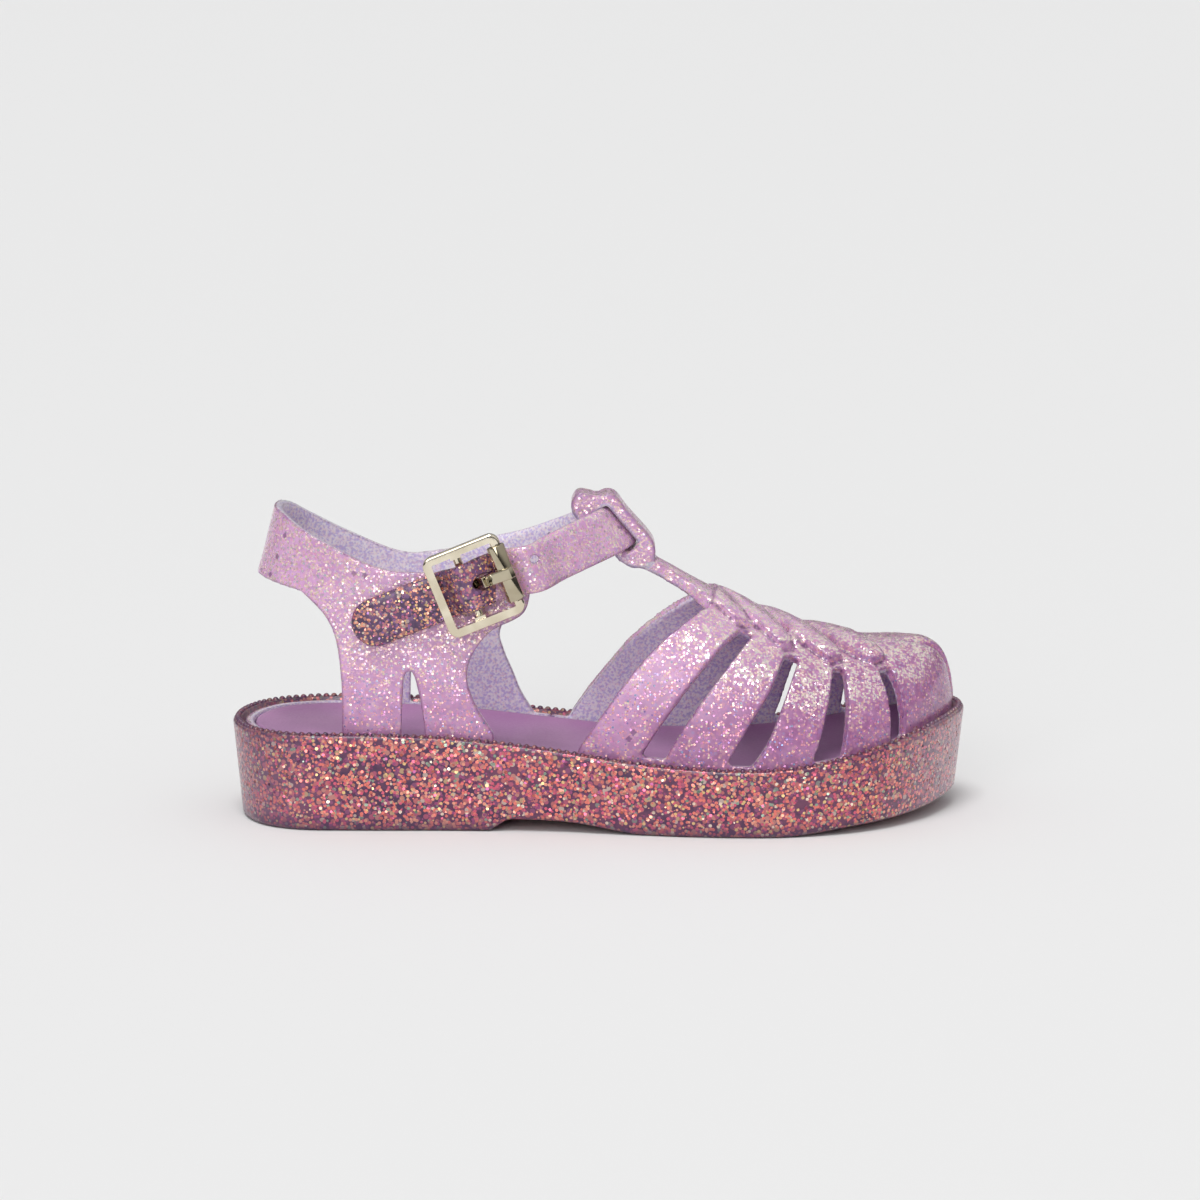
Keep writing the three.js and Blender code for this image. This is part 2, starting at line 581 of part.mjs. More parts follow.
function quarterPlate(table, from, to) {
  const corners = table.map(quarterPlace);
  corners[0].y -= RIM_HEIGHT;
  corners.at(-1).y -= RIM_HEIGHT;
  const smooth = new THREE.SplineCurve(table.map(quarterPlace));
  const edge = smooth.getPoints(table.length * 2);
  return sidePlate(new THREE.Shape([corners[0], ...edge, corners.at(-1)]), from, to);
}

function legSlot() {
  const place = (row, edge) => new THREE.Vector2(row[edge] * LENGTH, collarZ(row.z));
  const rear = LEG_SLOT.map((row) => place(row, 'rear'));
  const front = LEG_SLOT.map((row) => place(row, 'front')).reverse();
  return sidePlate(new THREE.Shape([...rear, ...front]), -BALL_WIDTH, BALL_WIDTH);
}

function quarterSolid() {
  const wall = quarterWall();
  const outside = quarterPlate(LATERAL_QUARTER, -BALL_WIDTH, WALL);
  const inside = quarterPlate(MEDIAL_QUARTER, -WALL, BALL_WIDTH);
  return wall.intersect(outside.add(inside)).subtract(legSlot());
}

// The buckle's own frame: along runs up the strap to the toe, across runs up the frame, out leaves the ankle

const BAR_TO_STRAP = FRAME_THICKNESS / 2 + STRAP_LIFT + STRAP_THICKNESS / 2;
const ROLLER_TO_STRAP = ROLLER_RADIUS + STRAP_LIFT + STRAP_THICKNESS / 2;
const OUT_TO_WALL = ROLLER_TO_STRAP + STRAP_THICKNESS / 2 + STRAP_LIFT;

function bucklePoint(along, across, out) {
  const tilt = rad(BUCKLE_TILT);
  return point(
    BUCKLE_X + along * Math.cos(tilt) - across * Math.sin(tilt),
    -(ANKLE_HALF + OUT_TO_WALL + out),
    collarZ(BUCKLE_LEVEL) + along * Math.sin(tilt) + across * Math.cos(tilt),
  );
}

// The strap

const FRONT_BAR = FRAME_LONG / 2 - FRAME_BAR / 2;

// Places of the strap inside the buckle and beyond it: it bulges over the eye of the prong
const EYE_RADIUS = BAR_RADIUS + ROLLER_GAP + PRONG_EYE;
const BULGE = EYE_RADIUS - BAR_DROP + 1.5 * STRAP_LIFT + STRAP_THICKNESS / 2;
const THREADING = [
  { along: FRONT_BAR + 6, across: -1.9, out: -ROLLER_TO_STRAP + 0.6 },
  { along: FRONT_BAR, across: -0.6, out: -ROLLER_TO_STRAP },
  { along: 2.6, across: 0, out: -1.3 },
  { along: -BAR_BACK, across: 0, out: BULGE },
  { along: -BAR_BACK - 2.4, across: 0, out: -0.4 },
  { along: -FRONT_BAR + 1.6, across: 0, out: -BAR_TO_STRAP - 0.2 },
  { along: -FRONT_BAR, across: 0, out: -BAR_TO_STRAP - 0.5 },
  { along: -FRONT_BAR - 5, across: 0, out: -ROLLER_TO_STRAP + 0.3 },
  { along: -TAIL * 0.55, across: 0, out: -ROLLER_TO_STRAP },
  { along: -TAIL * 0.8, across: 0, out: -ROLLER_TO_STRAP - 0.1 },
  { along: -TAIL, across: 0, out: -ROLLER_TO_STRAP - 0.4 },
];

function strapStations() {
  const middle = WALL / 2;
  const front = keeperCentre();
  const low = collarZ(STRAP_LEVEL);
  const round = STRAP_PATH.map((row) => ({
    place: point(
      THREE.MathUtils.lerp(STRAP_START, front.x, row.run),
      row.side * (ANKLE_HALF - middle) * row.out,
      THREE.MathUtils.lerp(low, front.y, row.rise),
    ),
    lean: row.lean,
  }));
  const threaded = THREADING.map((row) => {
    const place = bucklePoint(row.along, row.across, row.out);
    return { place, lean: BUCKLE_TILT };
  });
  return [...round, ...threaded];
}

function strapSolid() {
  const stations = strapStations();
  const path = new THREE.CatmullRomCurve3(stations.map((s) => s.place), false, 'centripetal');
  const leans = stations.map((s, i) => ({ key: i, lean: s.lean }));
  const round = STRAP_WIDTH / 2;
  const length = path.getLength();
  const layer = (side) => range(STRAP_STEPS).map((u) => {
    const t = path.getUtoTmapping(u);
    const centre = path.getPoint(t);
    const tangent = path.getTangent(t);
    const lean = rad(read(leans, 'key', 'lean', t * (stations.length - 1)));
    const width = point(-Math.sin(lean), 0, Math.cos(lean));
    width.addScaledVector(tangent, -width.dot(tangent)).normalize();
    const out = width.clone().cross(tangent);
    const left = (1 - u) * length;
    const half = left < round ? Math.sqrt(Math.max(0.4, round ** 2 - (round - left) ** 2)) : round;
    return [-1, -0.86, 0.86, 1].map((v) => {
      const thick = (STRAP_THICKNESS / 2) * (Math.abs(v) > 0.95 ? 0.55 : 1);
      return centre.clone().addScaledVector(width, v * half).addScaledVector(out, side * thick);
    });
  });
  return slab(layer(1), layer(-1));
}

// Round pin across the buckle's frame, along its width or out of its face
function buckleRod(radius, from, to, along, out, segments = 12) {
  const geometry = new THREE.CylinderGeometry(radius, radius, to - from, segments);
  geometry.translate(0, (from + to) / 2, 0);
  geometry.applyMatrix4(buckleMatrix(along, 0, out));
  return toSolid(geometry);
}

// Matrix of the buckle's frame: x along, y across, z out
function buckleMatrix(along, across, out) {
  const origin = bucklePoint(0, 0, 0);
  const axisAlong = bucklePoint(1, 0, 0).sub(origin);
  const axisAcross = bucklePoint(0, 1, 0).sub(origin);
  const axisOut = bucklePoint(0, 0, 1).sub(origin);
  const matrix = new THREE.Matrix4().makeBasis(axisAlong, axisAcross, axisOut);
  return matrix.setPosition(bucklePoint(along, across, out));
}

// Hole through the strap, square to the buckle's face
function strapHole(along) {
  const depth = OUT_TO_WALL + FRAME_THICKNESS;
  const geometry = new THREE.CylinderGeometry(PRONG_HOLE, PRONG_HOLE, depth, 16);
  geometry.rotateX(Math.PI / 2);
  geometry.scale(HOLE_STRETCH, 1, 1);
  geometry.applyMatrix4(buckleMatrix(along, 0, depth / 2 - OUT_TO_WALL + STRAP_LIFT / 2));
  return toSolid(geometry);
}

function upperSolid() {
  const cutters = [...LATERAL_GAPS.map((rows) => gapCutter(rows, -1)),
    ...MEDIAL_GAPS.map((rows) => gapCutter(rows, 1))];
  const vamp = cutters.reduce((shell, cutter) => shell.subtract(cutter), vampShell());
  const holes = [0, 1].map((i) => strapHole(HOLE_PLACE + i * SPARE_HOLE_SPACING));
  const strap = holes.reduce((whole, hole) => whole.subtract(hole), strapSolid());
  const pads = LEAVES.map(leafPad);
  return join([baseRing(), vamp, toeTip(), ...pads, tbarSolid(), keeperSolid(), quarterSolid(), strap]);
}

// The buckle

function roundedSquare(halfLong, halfTall, radius) {
  const shape = new THREE.Shape();
  const corners = [[1, 1], [-1, 1], [-1, -1], [1, -1]];
  corners.forEach(([x, y], i) => {
    const start = i * Math.PI / 2;
    shape.absarc(x * (halfLong - radius), y * (halfTall - radius), radius, start, start + Math.PI / 2, false);
  });
  return shape;
}

function frameSolid() {
  const bevel = 0.5;
  const shape = roundedSquare(FRAME_LONG / 2, FRAME_TALL / 2, FRAME_CORNER);
  const inner = roundedSquare(FRAME_LONG / 2 - FRAME_BAR, FRAME_TALL / 2 - FRAME_BAR, FRAME_CORNER * 0.4);
  shape.holes.push(new THREE.Path(inner.getPoints(3).reverse()));
  const geometry = new THREE.ExtrudeGeometry(shape, {
    depth: FRAME_THICKNESS - 2 * bevel,
    bevelThickness: bevel,
    bevelSize: bevel,
    bevelOffset: -bevel,
    bevelSegments: 1,
    curveSegments: 3,
  });
  geometry.translate(0, 0, bevel - FRAME_THICKNESS / 2);
  geometry.applyMatrix4(buckleMatrix(0, 0, 0));
  const opening = FRAME_TALL / 2 - FRAME_BAR;
  const room = new THREE.BoxGeometry(FRAME_BAR * 3, 2 * opening, FRAME_THICKNESS * 3);
  room.applyMatrix4(buckleMatrix(FRONT_BAR + FRAME_BAR / 2, 0, 0));
  const front = buckleRod(BAR_RADIUS, -opening - 1, opening + 1, FRONT_BAR, 0);
  const lug = new THREE.BoxGeometry(BAR_RADIUS * 2.6, FRAME_BAR * 0.8, BAR_DROP + BAR_RADIUS);
  const lugs = [-1, 1].map((end) => {
    const piece = lug.clone();
    const across = end * (opening + FRAME_BAR * 0.45);
    piece.applyMatrix4(buckleMatrix(-BAR_BACK, across, -(BAR_DROP + BAR_RADIUS) / 2));
    return toSolid(piece);
  });
  const centre = buckleRod(BAR_RADIUS, -opening - 1, opening + 1, -BAR_BACK, -BAR_DROP);
  return join([toSolid(geometry).subtract(toSolid(room)), front, centre, ...lugs]);
}

function rollerGeometry() {
  const half = FRAME_TALL / 2 - FRAME_BAR - ROLLER_GAP;
  const bore = BAR_RADIUS + ROLLER_GAP;
  const profile = [
    [bore, -half], [ROLLER_RADIUS - 0.3, -half], [ROLLER_RADIUS, -half + 0.3],
    [ROLLER_RADIUS, half - 0.3], [ROLLER_RADIUS - 0.3, half], [bore, half], [bore, -half],
  ].map(([x, y]) => new THREE.Vector2(x, y));
  const geometry = new THREE.LatheGeometry(profile, 18);
  geometry.applyMatrix4(buckleMatrix(FRONT_BAR, 0, 0));
  return toGeometry(toSolid(geometry));
}

// The prong: an eye round the centre bar and a tongue that lies over the roller
function prongSolid() {
  const bore = BAR_RADIUS + ROLLER_GAP;
  const eye = new THREE.Shape().absarc(0, 0, EYE_RADIUS, 0, Math.PI * 2, false);
  eye.holes.push(new THREE.Path().absarc(0, 0, bore, 0, Math.PI * 2, true));
  const reach = FRONT_BAR + BAR_BACK + ROLLER_RADIUS;
  const over = BAR_DROP + ROLLER_RADIUS + GAP;
  const root = bore + PRONG_EYE * 0.3;
  const lift = over + PRONG_THICKNESS;
  const tongue = new THREE.Shape([
    [root, -0.8], [2.6, -0.4], [3.6, 0.8], [4.8, over - 0.7], [6, over], [reach, over - 0.1],
    [reach, over + 0.5], [reach - 0.9, lift], [5.2, lift], [4, over + 0.1], [2.9, 1.6], [2.1, 0.75],
    [root, 0.9],
  ].map(([x, y]) => new THREE.Vector2(x, y)));
  return join([eye, tongue].map((shape) => {
    const settings = { depth: PRONG_WIDTH, bevelEnabled: false, curveSegments: 12 };
    const geometry = new THREE.ExtrudeGeometry(shape, settings);
    geometry.translate(0, 0, -PRONG_WIDTH / 2);
    geometry.rotateX(Math.PI / 2);
    geometry.applyMatrix4(buckleMatrix(-BAR_BACK, 0, -BAR_DROP));
    return toSolid(geometry);
  }));
}

// The sandal

const shoe = new THREE.Group();

function add(name, geometry, color, roughness, metalness) {
  const mesh = new THREE.Mesh(geometry, new THREE.MeshStandardMaterial({ color, roughness, metalness }));
  mesh.name = name;
  shoe.add(mesh);
}

add('outsole', toGeometry(outsoleSolid()), 0x9a6f78, 0.45, 0);
add('insole', toGeometry(insoleSolid()), 0x7d4f7c, 0.5, 0);
add('upper', toGeometry(upperSolid()), 0xb58fbf, 0.35, 0);
add('buckle_frame', toGeometry(frameSolid()), 0xd8cba8, 0.25, 1);
add('buckle_roller', rollerGeometry(), 0xc9c9c6, 0.15, 1);
add('buckle_prong', toGeometry(prongSolid()), 0xd0ccc0, 0.2, 1);

// The origin is under the middle of the length, on the floor
shoe.position.set(-LENGTH / 2, 0, 0);

export default shoe;
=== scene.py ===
import math
import bmesh
import bpy
import numpy as np
from mathutils import Matrix, Vector


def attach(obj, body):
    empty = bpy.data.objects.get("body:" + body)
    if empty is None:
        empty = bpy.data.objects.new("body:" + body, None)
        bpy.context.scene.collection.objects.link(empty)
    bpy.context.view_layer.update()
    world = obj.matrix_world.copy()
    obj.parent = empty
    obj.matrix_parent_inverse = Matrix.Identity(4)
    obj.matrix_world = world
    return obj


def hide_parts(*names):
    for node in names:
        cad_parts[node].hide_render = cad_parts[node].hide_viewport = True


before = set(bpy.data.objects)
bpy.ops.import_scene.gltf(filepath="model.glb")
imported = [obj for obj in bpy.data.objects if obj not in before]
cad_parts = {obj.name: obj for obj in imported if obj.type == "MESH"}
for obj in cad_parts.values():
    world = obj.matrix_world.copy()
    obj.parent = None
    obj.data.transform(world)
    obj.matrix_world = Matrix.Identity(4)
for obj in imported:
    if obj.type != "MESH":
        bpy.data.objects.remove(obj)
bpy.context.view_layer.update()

# The photograph's view: a long lens in front of the buckle side, a little above the shoe, and the pale
# studio round it. The floor runs far past the frame. The light is a soft sky, a high key
# sun, a low fill sun and a small softbox.
LENS = 115
DISTANCE = 0.9
LIFT = math.radians(9.6)
TARGET = Vector((-0.0001, 0, 0.0502))
FLOOR_HALF = 40
FLOOR_COLOUR = (0.82, 0.82, 0.82, 1)
SKY_TOP = (1, 1, 1, 1)
SKY_SIDE = (0.1, 0.1, 0.11, 1)
SKY_STRENGTH = 0.53

scene = bpy.context.scene
scene.view_settings.view_transform = "Standard"
camera = bpy.data.objects.new("camera", bpy.data.cameras.new("camera"))
camera.data.lens = LENS
camera.data.clip_end = 200
away = Vector((0, -math.cos(LIFT), math.sin(LIFT)))
camera.location = TARGET + away * DISTANCE
camera.rotation_euler = (-away).to_track_quat("-Z", "Y").to_euler()
scene.collection.objects.link(camera)
scene.camera = camera


class Finish:
    """A socket in a tree of nodes; sums on it add Math nodes."""

    def __init__(self, tree, socket=None):
        self.tree = tree
        self.socket = socket

    def node(self, kind, settings=None, values=None, output=0):
        made = self.tree.nodes.new(kind)
        for name, value in (settings or {}).items():
            if name == "stops":
                while len(made.color_ramp.elements) < len(value):
                    made.color_ramp.elements.new(0.5)
                for element, (place, colour) in zip(made.color_ramp.elements, value):
                    element.position = place
                    element.color = colour
            elif name == "interpolation" and kind == "ShaderNodeValToRGB":
                made.color_ramp.interpolation = value
            else:
                setattr(made, name, value)
        for key, value in (values or {}).items():
            if isinstance(value, Finish):
                self.tree.links.new(value.socket, made.inputs[key])
            else:
                made.inputs[key].default_value = value
        return Finish(self.tree, made.outputs[output])

    def end(self, kind, value):
        made = self.tree.nodes.new(kind)
        self.tree.links.new(value.socket, made.inputs[0])

    def other(self, output):
        return Finish(self.tree, self.socket.node.outputs[output])

    def maths(self, operation, a, b=0.0):
        return self.node("ShaderNodeMath", {"operation": operation}, {0: a, 1: b})

    def __add__(self, value):
        return self.maths("ADD", self, value)

    def __sub__(self, value):
        return self.maths("SUBTRACT", self, value)

    def __rsub__(self, value):
        return self.maths("SUBTRACT", value, self)

    def __mul__(self, value):
        return self.maths("MULTIPLY", self, value)

    def __lt__(self, value):
        return self.maths("LESS_THAN", self, value)

    def __gt__(self, value):
        return self.maths("GREATER_THAN", self, value)

    __radd__ = __add__
    __rmul__ = __mul__

    def ramp(self, low, high):
        """0 below low, 1 above high, smooth between."""
        settings = {"interpolation_type": "SMOOTHSTEP"}
        return self.node("ShaderNodeMapRange", settings, {0: self, 1: low, 2: high, 3: 0.0, 4: 1.0})

    def colours(self, first, second):
        """Mixes two colours by this value."""
        return self.node("ShaderNodeMix", {"data_type": "RGBA"}, {0: self, 6: first, 7: second}, 2)


def rgb(red, green, blue):
    """Linear colour from a picture's 0 to 255 values."""
    def one(value):
        value /= 255
        return value / 12.92 if value <= 0.04045 else ((value + 0.055) / 1.055) ** 2.4
    return (one(red), one(green), one(blue), 1)


world = bpy.data.worlds.new("studio")
world.use_nodes = True
world.node_tree.nodes.clear()
sky = Finish(world.node_tree)
heading = sky.node("ShaderNodeTexCoord", output="Generated")
height = sky.node("ShaderNodeSeparateXYZ", values={0: heading}, output=2)
tone = height.ramp(0.1, 0.42).colours(SKY_SIDE, SKY_TOP)
glow = sky.node("ShaderNodeBackground", values={"Color": tone, "Strength": SKY_STRENGTH})
sky.end("ShaderNodeOutputWorld", glow)
scene.world = world

ground = bmesh.new()
bmesh.ops.create_grid(ground, x_segments=1, y_segments=1, size=FLOOR_HALF)
floor = bpy.data.objects.new("floor", bpy.data.meshes.new("floor"))
ground.to_mesh(floor.data)
scene.collection.objects.link(floor)
pale = bpy.data.materials.new("pale_floor")
pale.use_nodes = True
pale.node_tree.nodes["Principled BSDF"].inputs["Base Color"].default_value = FLOOR_COLOUR
pale.node_tree.nodes["Principled BSDF"].inputs["Roughness"].default_value = 0.85
pale.node_tree.nodes["Principled BSDF"].inputs["Specular IOR Level"].default_value = 0.1
floor.data.materials.append(pale)

for name, kind, strength, place, size in [
    ("key", "SUN", 1.5, (-0.1, -0.4, 1.0), math.radians(24)),
    ("fill", "SUN", 0.75, (-0.3, -1.0, 0.42), math.radians(32)),
    ("softbox", "AREA", 0.15, (0.35, -0.55, 0.75), 0.35),
]:
    lamp = bpy.data.lights.new(name, kind)
    lamp.energy = strength
    if kind == "SUN":
        lamp.angle = size
    else:
        lamp.size = size
    holder = bpy.data.objects.new(name, lamp)
    holder.location = place
    holder.rotation_euler = (-Vector(place) + Vector((0, 0, 0.03))).to_track_quat("-Z", "Y").to_euler()
    scene.collection.objects.link(holder)

# The sole: one thick moulding of dark plum plastic packed with coral and gold glitter. It has a heel block,
# a low arch, a sprung toe, and a raised rim round the pocket that takes the footbed.
MM = 0.001
LENGTH = 173.0
BALL_WIDTH = 67.0
RIM_HEIGHT = 22.8
ARCH_RISE = 2.8
TOE_SPRING = 4.2
HEEL_SEAT = 61.0
BREAST_RUN = 4.0
BOTTOM_INSET = 1.9
BOTTOM_ROUND = 1.3
RIM_ROUND = 0.8
RIM_WIDTH = 2.5
INSOLE_THICKNESS = 3.0
INSOLE_SUNK = 2.4
GAP = 0.3
WALL = 2.2
RING_DROP = 0.6
UPPER_INSET = RIM_WIDTH + GAP
STATIONS = 170

PLAN = {
    "at": [0, 0.03, 0.09, 0.18, 0.3, 0.42, 0.54, 0.66, 0.76, 0.86, 0.94, 0.985, 1],
    "lateral": [0, 0.51, 0.725, 0.76, 0.765, 0.8, 0.9, 0.985, 0.97, 0.79, 0.43, 0.03, -0.28],
    "medial": [0, 0.5, 0.7, 0.73, 0.71, 0.68, 0.77, 0.92, 1, 0.985, 0.83, 0.57, 0.28],
    "rim": [1, 1, 1, 1, 0.965, 0.875, 0.755, 0.7, 0.72, 0.85, 0.99, 1.04, 1.05],
}
ARCH = {"at": [0.38, 0.46, 0.56, 0.74], "rise": [1, 0.85, 0, 0]}
SPRING = {"at": [0, 0.46, 0.56, 0.74, 0.83, 0.9, 0.96, 1], "rise": [0, 0, 0, 0, 0.36, 0.56, 0.8, 1]}


def read(table, key, column, value, warp=lambda v: v):
    """Smooth value of a table's column at a key."""
    keys = warp(np.array(table[key], float))
    column = np.array(table[column], float)
    before = np.maximum(np.arange(len(keys)) - 1, 0)
    after = np.minimum(np.arange(len(keys)) + 1, len(keys) - 1)
    slopes = (column[after] - column[before]) / (keys[after] - keys[before])
    value = np.clip(warp(np.asarray(value, float)), keys[0], keys[-1])
    i = np.clip(np.searchsorted(keys, value, side="left") - 1, 0, len(keys) - 2)
    span = keys[i + 1] - keys[i]
    s = (value - keys[i]) / span
    return ((2 * s**3 - 3 * s**2 + 1) * column[i] + (s**3 - 2 * s**2 + s) * slopes[i] * span
            + (3 * s**2 - 2 * s**3) * column[i + 1] + (s**3 - s**2) * slopes[i + 1] * span)


def turned(at):
    return np.arccos(np.clip(1 - 2 * np.asarray(at, float), -1, 1)) / math.pi


def from_turn(turn):
    return (1 - np.cos(math.pi * np.asarray(turn, float))) / 2


def rim_at(x):
    return RIM_HEIGHT * read(PLAN, "at", "rim", np.asarray(x) / LENGTH, turned)


def bottom_at(x):
    at = np.clip(np.asarray(x, float) / LENGTH, 0, 1)
    arch = np.maximum(0, read(ARCH, "at", "rise", at))
    breast = np.clip((x - HEEL_SEAT) / BREAST_RUN, 0, 1)
    spring = np.maximum(0, read(SPRING, "at", "rise", at)) * (x > HEEL_SEAT)
    return ARCH_RISE * arch * breast + TOE_SPRING * spring


def outline(at, side, inset):
    """Points of the sole's outline in plan, moved inwards by an inset."""
    column = "lateral" if side < 0 else "medial"

    def raw(a):
        return np.stack([a * LENGTH, side * BALL_WIDTH / 2 * read(PLAN, "at", column, a, turned)], -1)

    step = 0.001
    turn = turned(at)
    t = np.clip(turn, step, 1 - step)
    along = raw(from_turn(t + step)) - raw(from_turn(t - step))
    along /= np.linalg.norm(along, axis=-1, keepdims=True)
    along[turn < step] = (0, side)
    along[turn > 1 - step] = (0, -side)
    inward = np.stack([along[..., 1], -along[..., 0]], -1) * side
    return raw(np.asarray(at, float)) + inward * np.asarray(inset, float)[..., None]


def pocket_floor(x):
    return rim_at(x) - INSOLE_SUNK - INSOLE_THICKNESS - GAP


def in_scene(x, y, z):
    """A place in metres from one in mm, with x from the back of the heel."""
    return ((x - LENGTH / 2) * MM, y * MM, z * MM)


def wrapped(rings, across=10):
    """Rows of points round a body whose rings run up its outside and down its inside."""
    at = from_turn(np.linspace(0, 1, STATIONS + 1))
    rows = []

    def bridge(ring, shares):
        lateral, medial = outline(at, -1, ring[0]), outline(at, 1, ring[0])
        for share in shares:
            middle = lateral + (medial - lateral) * share
            rows.append(np.column_stack([middle, ring[1](middle[:, 0])]))

    bridge(rings[0], np.linspace(0, 1, across)[:-1])
    for inset, height in rings[:-1]:
        edge = outline(at, 1, inset)
        rows.append(np.column_stack([edge, height(edge[:, 0])]))
    bridge(rings[-1], np.linspace(1, 0, across)[:-1])
    for inset, height in rings[:0:-1]:
        edge = outline(at, -1, inset)
        rows.append(np.column_stack([edge, height(edge[:, 0])]))
    rows.append(rows[0])
    return np.array(rows)


def outward(shape):
    """Turns a closed skin's faces outwards."""
    bmesh.ops.recalc_face_normals(shape, faces=shape.faces)
    if shape.calc_volume(signed=True) < 0:
        bmesh.ops.reverse_faces(shape, faces=shape.faces)
    return shape


def laid(grid):
    """A closed skin through rows of points in mm, from the back of the heel."""
    skin = bmesh.new()
    rows, columns = grid.shape[:2]
    bmesh.ops.create_grid(skin, x_segments=columns - 1, y_segments=rows - 1, size=0.5)
    places = np.array([v.co for v in skin.verts])
    i = np.rint((places[:, 1] + 0.5) * (rows - 1)).astype(int)
    j = np.rint((places[:, 0] + 0.5) * (columns - 1)).astype(int)
    for vert, place in zip(skin.verts, grid[i, j]):
        vert.co = in_scene(*place)
    bmesh.ops.remove_doubles(skin, verts=skin.verts, dist=1e-6)
    return outward(skin)


def piece(shape, name, material, node):
    """Makes a finished object of a bmesh, and hides the CAD part that it stands for."""
    made = bpy.data.objects.new(name, bpy.data.meshes.new(name))
    shape.to_mesh(made.data)
    shape.free()
    made.data.polygons.foreach_set("use_smooth", [True] * len(made.data.polygons))
    made.data.materials.append(material)
    scene.collection.objects.link(made)
    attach(made, "root")
    if node:
        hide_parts(node)
    return made


def glitter(name, body, shade, edges, flakes, size, reach, density, sunk_share, tilt, shine,
            glint=None, inner_backlight_paint=None, ends=None, clear=0.0, soft=0.0, rough=0.35, wavy=0.12):
    """Moulded plastic with flakes in it: each flake is a cell with its own colour and tilt.

    size is a cell's width in mm, reach the part of it that a flake fills, density the share of the cells
    that have one, glint the colour of flakes where a highlight is painted, the next argument the pale colours
    painted on inner faces as light coming through from behind, and ends the colours of both ends.
    """
    made = bpy.data.materials.new(name)
    made.use_nodes = True
    made.node_tree.nodes.clear()
    base = Finish(made.node_tree)
    spot = base.node("ShaderNodeTexCoord", output="Object")
    place = base.node("ShaderNodeSeparateXYZ", values={0: spot})
    geometry = base.node("ShaderNodeNewGeometry", output="Pointiness")
    facing = base.node("ShaderNodeSeparateXYZ", values={0: geometry.other("Normal")}, output=2)
    cloud = base.node("ShaderNodeTexNoise", values={"Vector": spot, "Scale": 420.0, "Detail": 3.0})
    patch = base.node("ShaderNodeTexNoise", values={"Vector": spot, "Scale": 60.0, "Detail": 2.0})

    cells = base.node("ShaderNodeTexVoronoi", values={"Vector": spot, "Scale": 1 / (size * MM)})
    chance = cells.other("Color")
    red = base.node("ShaderNodeSeparateColor", values={0: chance})
    flake = (cells < reach) * (red < density)
    deep = base.node("ShaderNodeTexVoronoi", values={"Vector": spot, "Scale": 0.62 / (size * MM)})
    deep_red = base.node("ShaderNodeSeparateColor", values={0: deep.other("Color")})
    sunk = (deep < reach) * (deep_red < density) * sunk_share
    stops = {"stops": flakes, "interpolation": "CONSTANT"}
    palette = base.node("ShaderNodeValToRGB", stops, {0: red.other("Green")})
    palette_deep = base.node("ShaderNodeValToRGB", stops, {0: deep_red.other("Green")})

    tone_and_height_light = (cloud * 0.6 + patch * 0.4).ramp(0.38, 0.62)
    # With a glint colour, the top of the upper is painted lighter and its low and front parts darker as
    # painted light, and lit is a painted highlight on faces turned up and on high parts, where flakes take
    # the glint colour and grow denser.
    if glint:
        height_for_painted_light = place.other("Z") - base.maths("MAXIMUM", place, 0.0) * 0.35
        tone_and_height_light = tone_and_height_light * 0.3 + height_for_painted_light.ramp(0.012, 0.038) * 0.7
        lit = facing.ramp(0.15, 0.6) * (cloud.ramp(0.35, 0.6) * 0.5 + 0.5)
        lit = base.maths("MAXIMUM", lit, height_for_painted_light.ramp(0.024, 0.046) * 0.6)
        palette = (lit * 0.85).colours(palette, glint)
        flake = (cells < lit * 0.14 + reach) * (red < lit * (density - 0.4) + 0.4)
    colour = tone_and_height_light.colours(shade, body)
    # Inner faces are painted paler blue-lilac with fewer flakes, as painted light coming through the moulding
    # from behind.
    if inner_backlight_paint:
        inner = base.node("ShaderNodeAttribute", {"attribute_name": "inner"}, output="Fac")
        fine = base.node("ShaderNodeTexNoise", values={"Vector": spot, "Scale": 1600.0, "Detail": 2.0})
        colour = inner.colours(colour, fine.ramp(0.36, 0.6).colours(inner_backlight_paint[0], inner_backlight_paint[1]))
        sunk = sunk * (1 - inner * 0.7)
        flake = flake * (1 - inner * 0.75)
    colour = sunk.colours(colour, palette_deep)
    colour = flake.colours(colour, palette)
    waves = base.node("ShaderNodeBump", values={"Height": cloud, "Strength": wavy, "Distance": 0.0004})
    if ends:
        outer = place.maths("ABSOLUTE", place).ramp(0.06, 0.086) * (cloud.ramp(0.3, 0.5) * 0.2 + 0.35)
        colour = outer.colours(colour, place.ramp(-0.02, 0.02).colours(ends[0], ends[1]))
        # The bottom few mm of the sole are painted darker and without flakes, as painted shade near the
        # floor.
        low = 0.7 - place.other("Z").ramp(0.0005, 0.005) * 0.7
        colour = low.colours(colour, shade)
        flake = flake * (1 - low)
        ribs = base.node("ShaderNodeTexWave", {"bands_direction": "X"}, {"Vector": spot, "Scale": 105.0}, 1)
        waves = base.node("ShaderNodeBump", values={"Height": ribs * (facing < -0.7), "Strength": 0.8,
                                                    "Distance": 0.0008, "Normal": waves})
    # Concave creases are painted in the edges colour as painted shade, and sharp convex edges get dark
    # outlines in it.
    edge = base.maths("MAXIMUM", geometry.ramp(0.512, 0.56) * 0.7, 0.85 - geometry.ramp(0.45, 0.488) * 0.85)
    colour = edge.colours(colour, edges)
    flake = flake * (1 - edge)

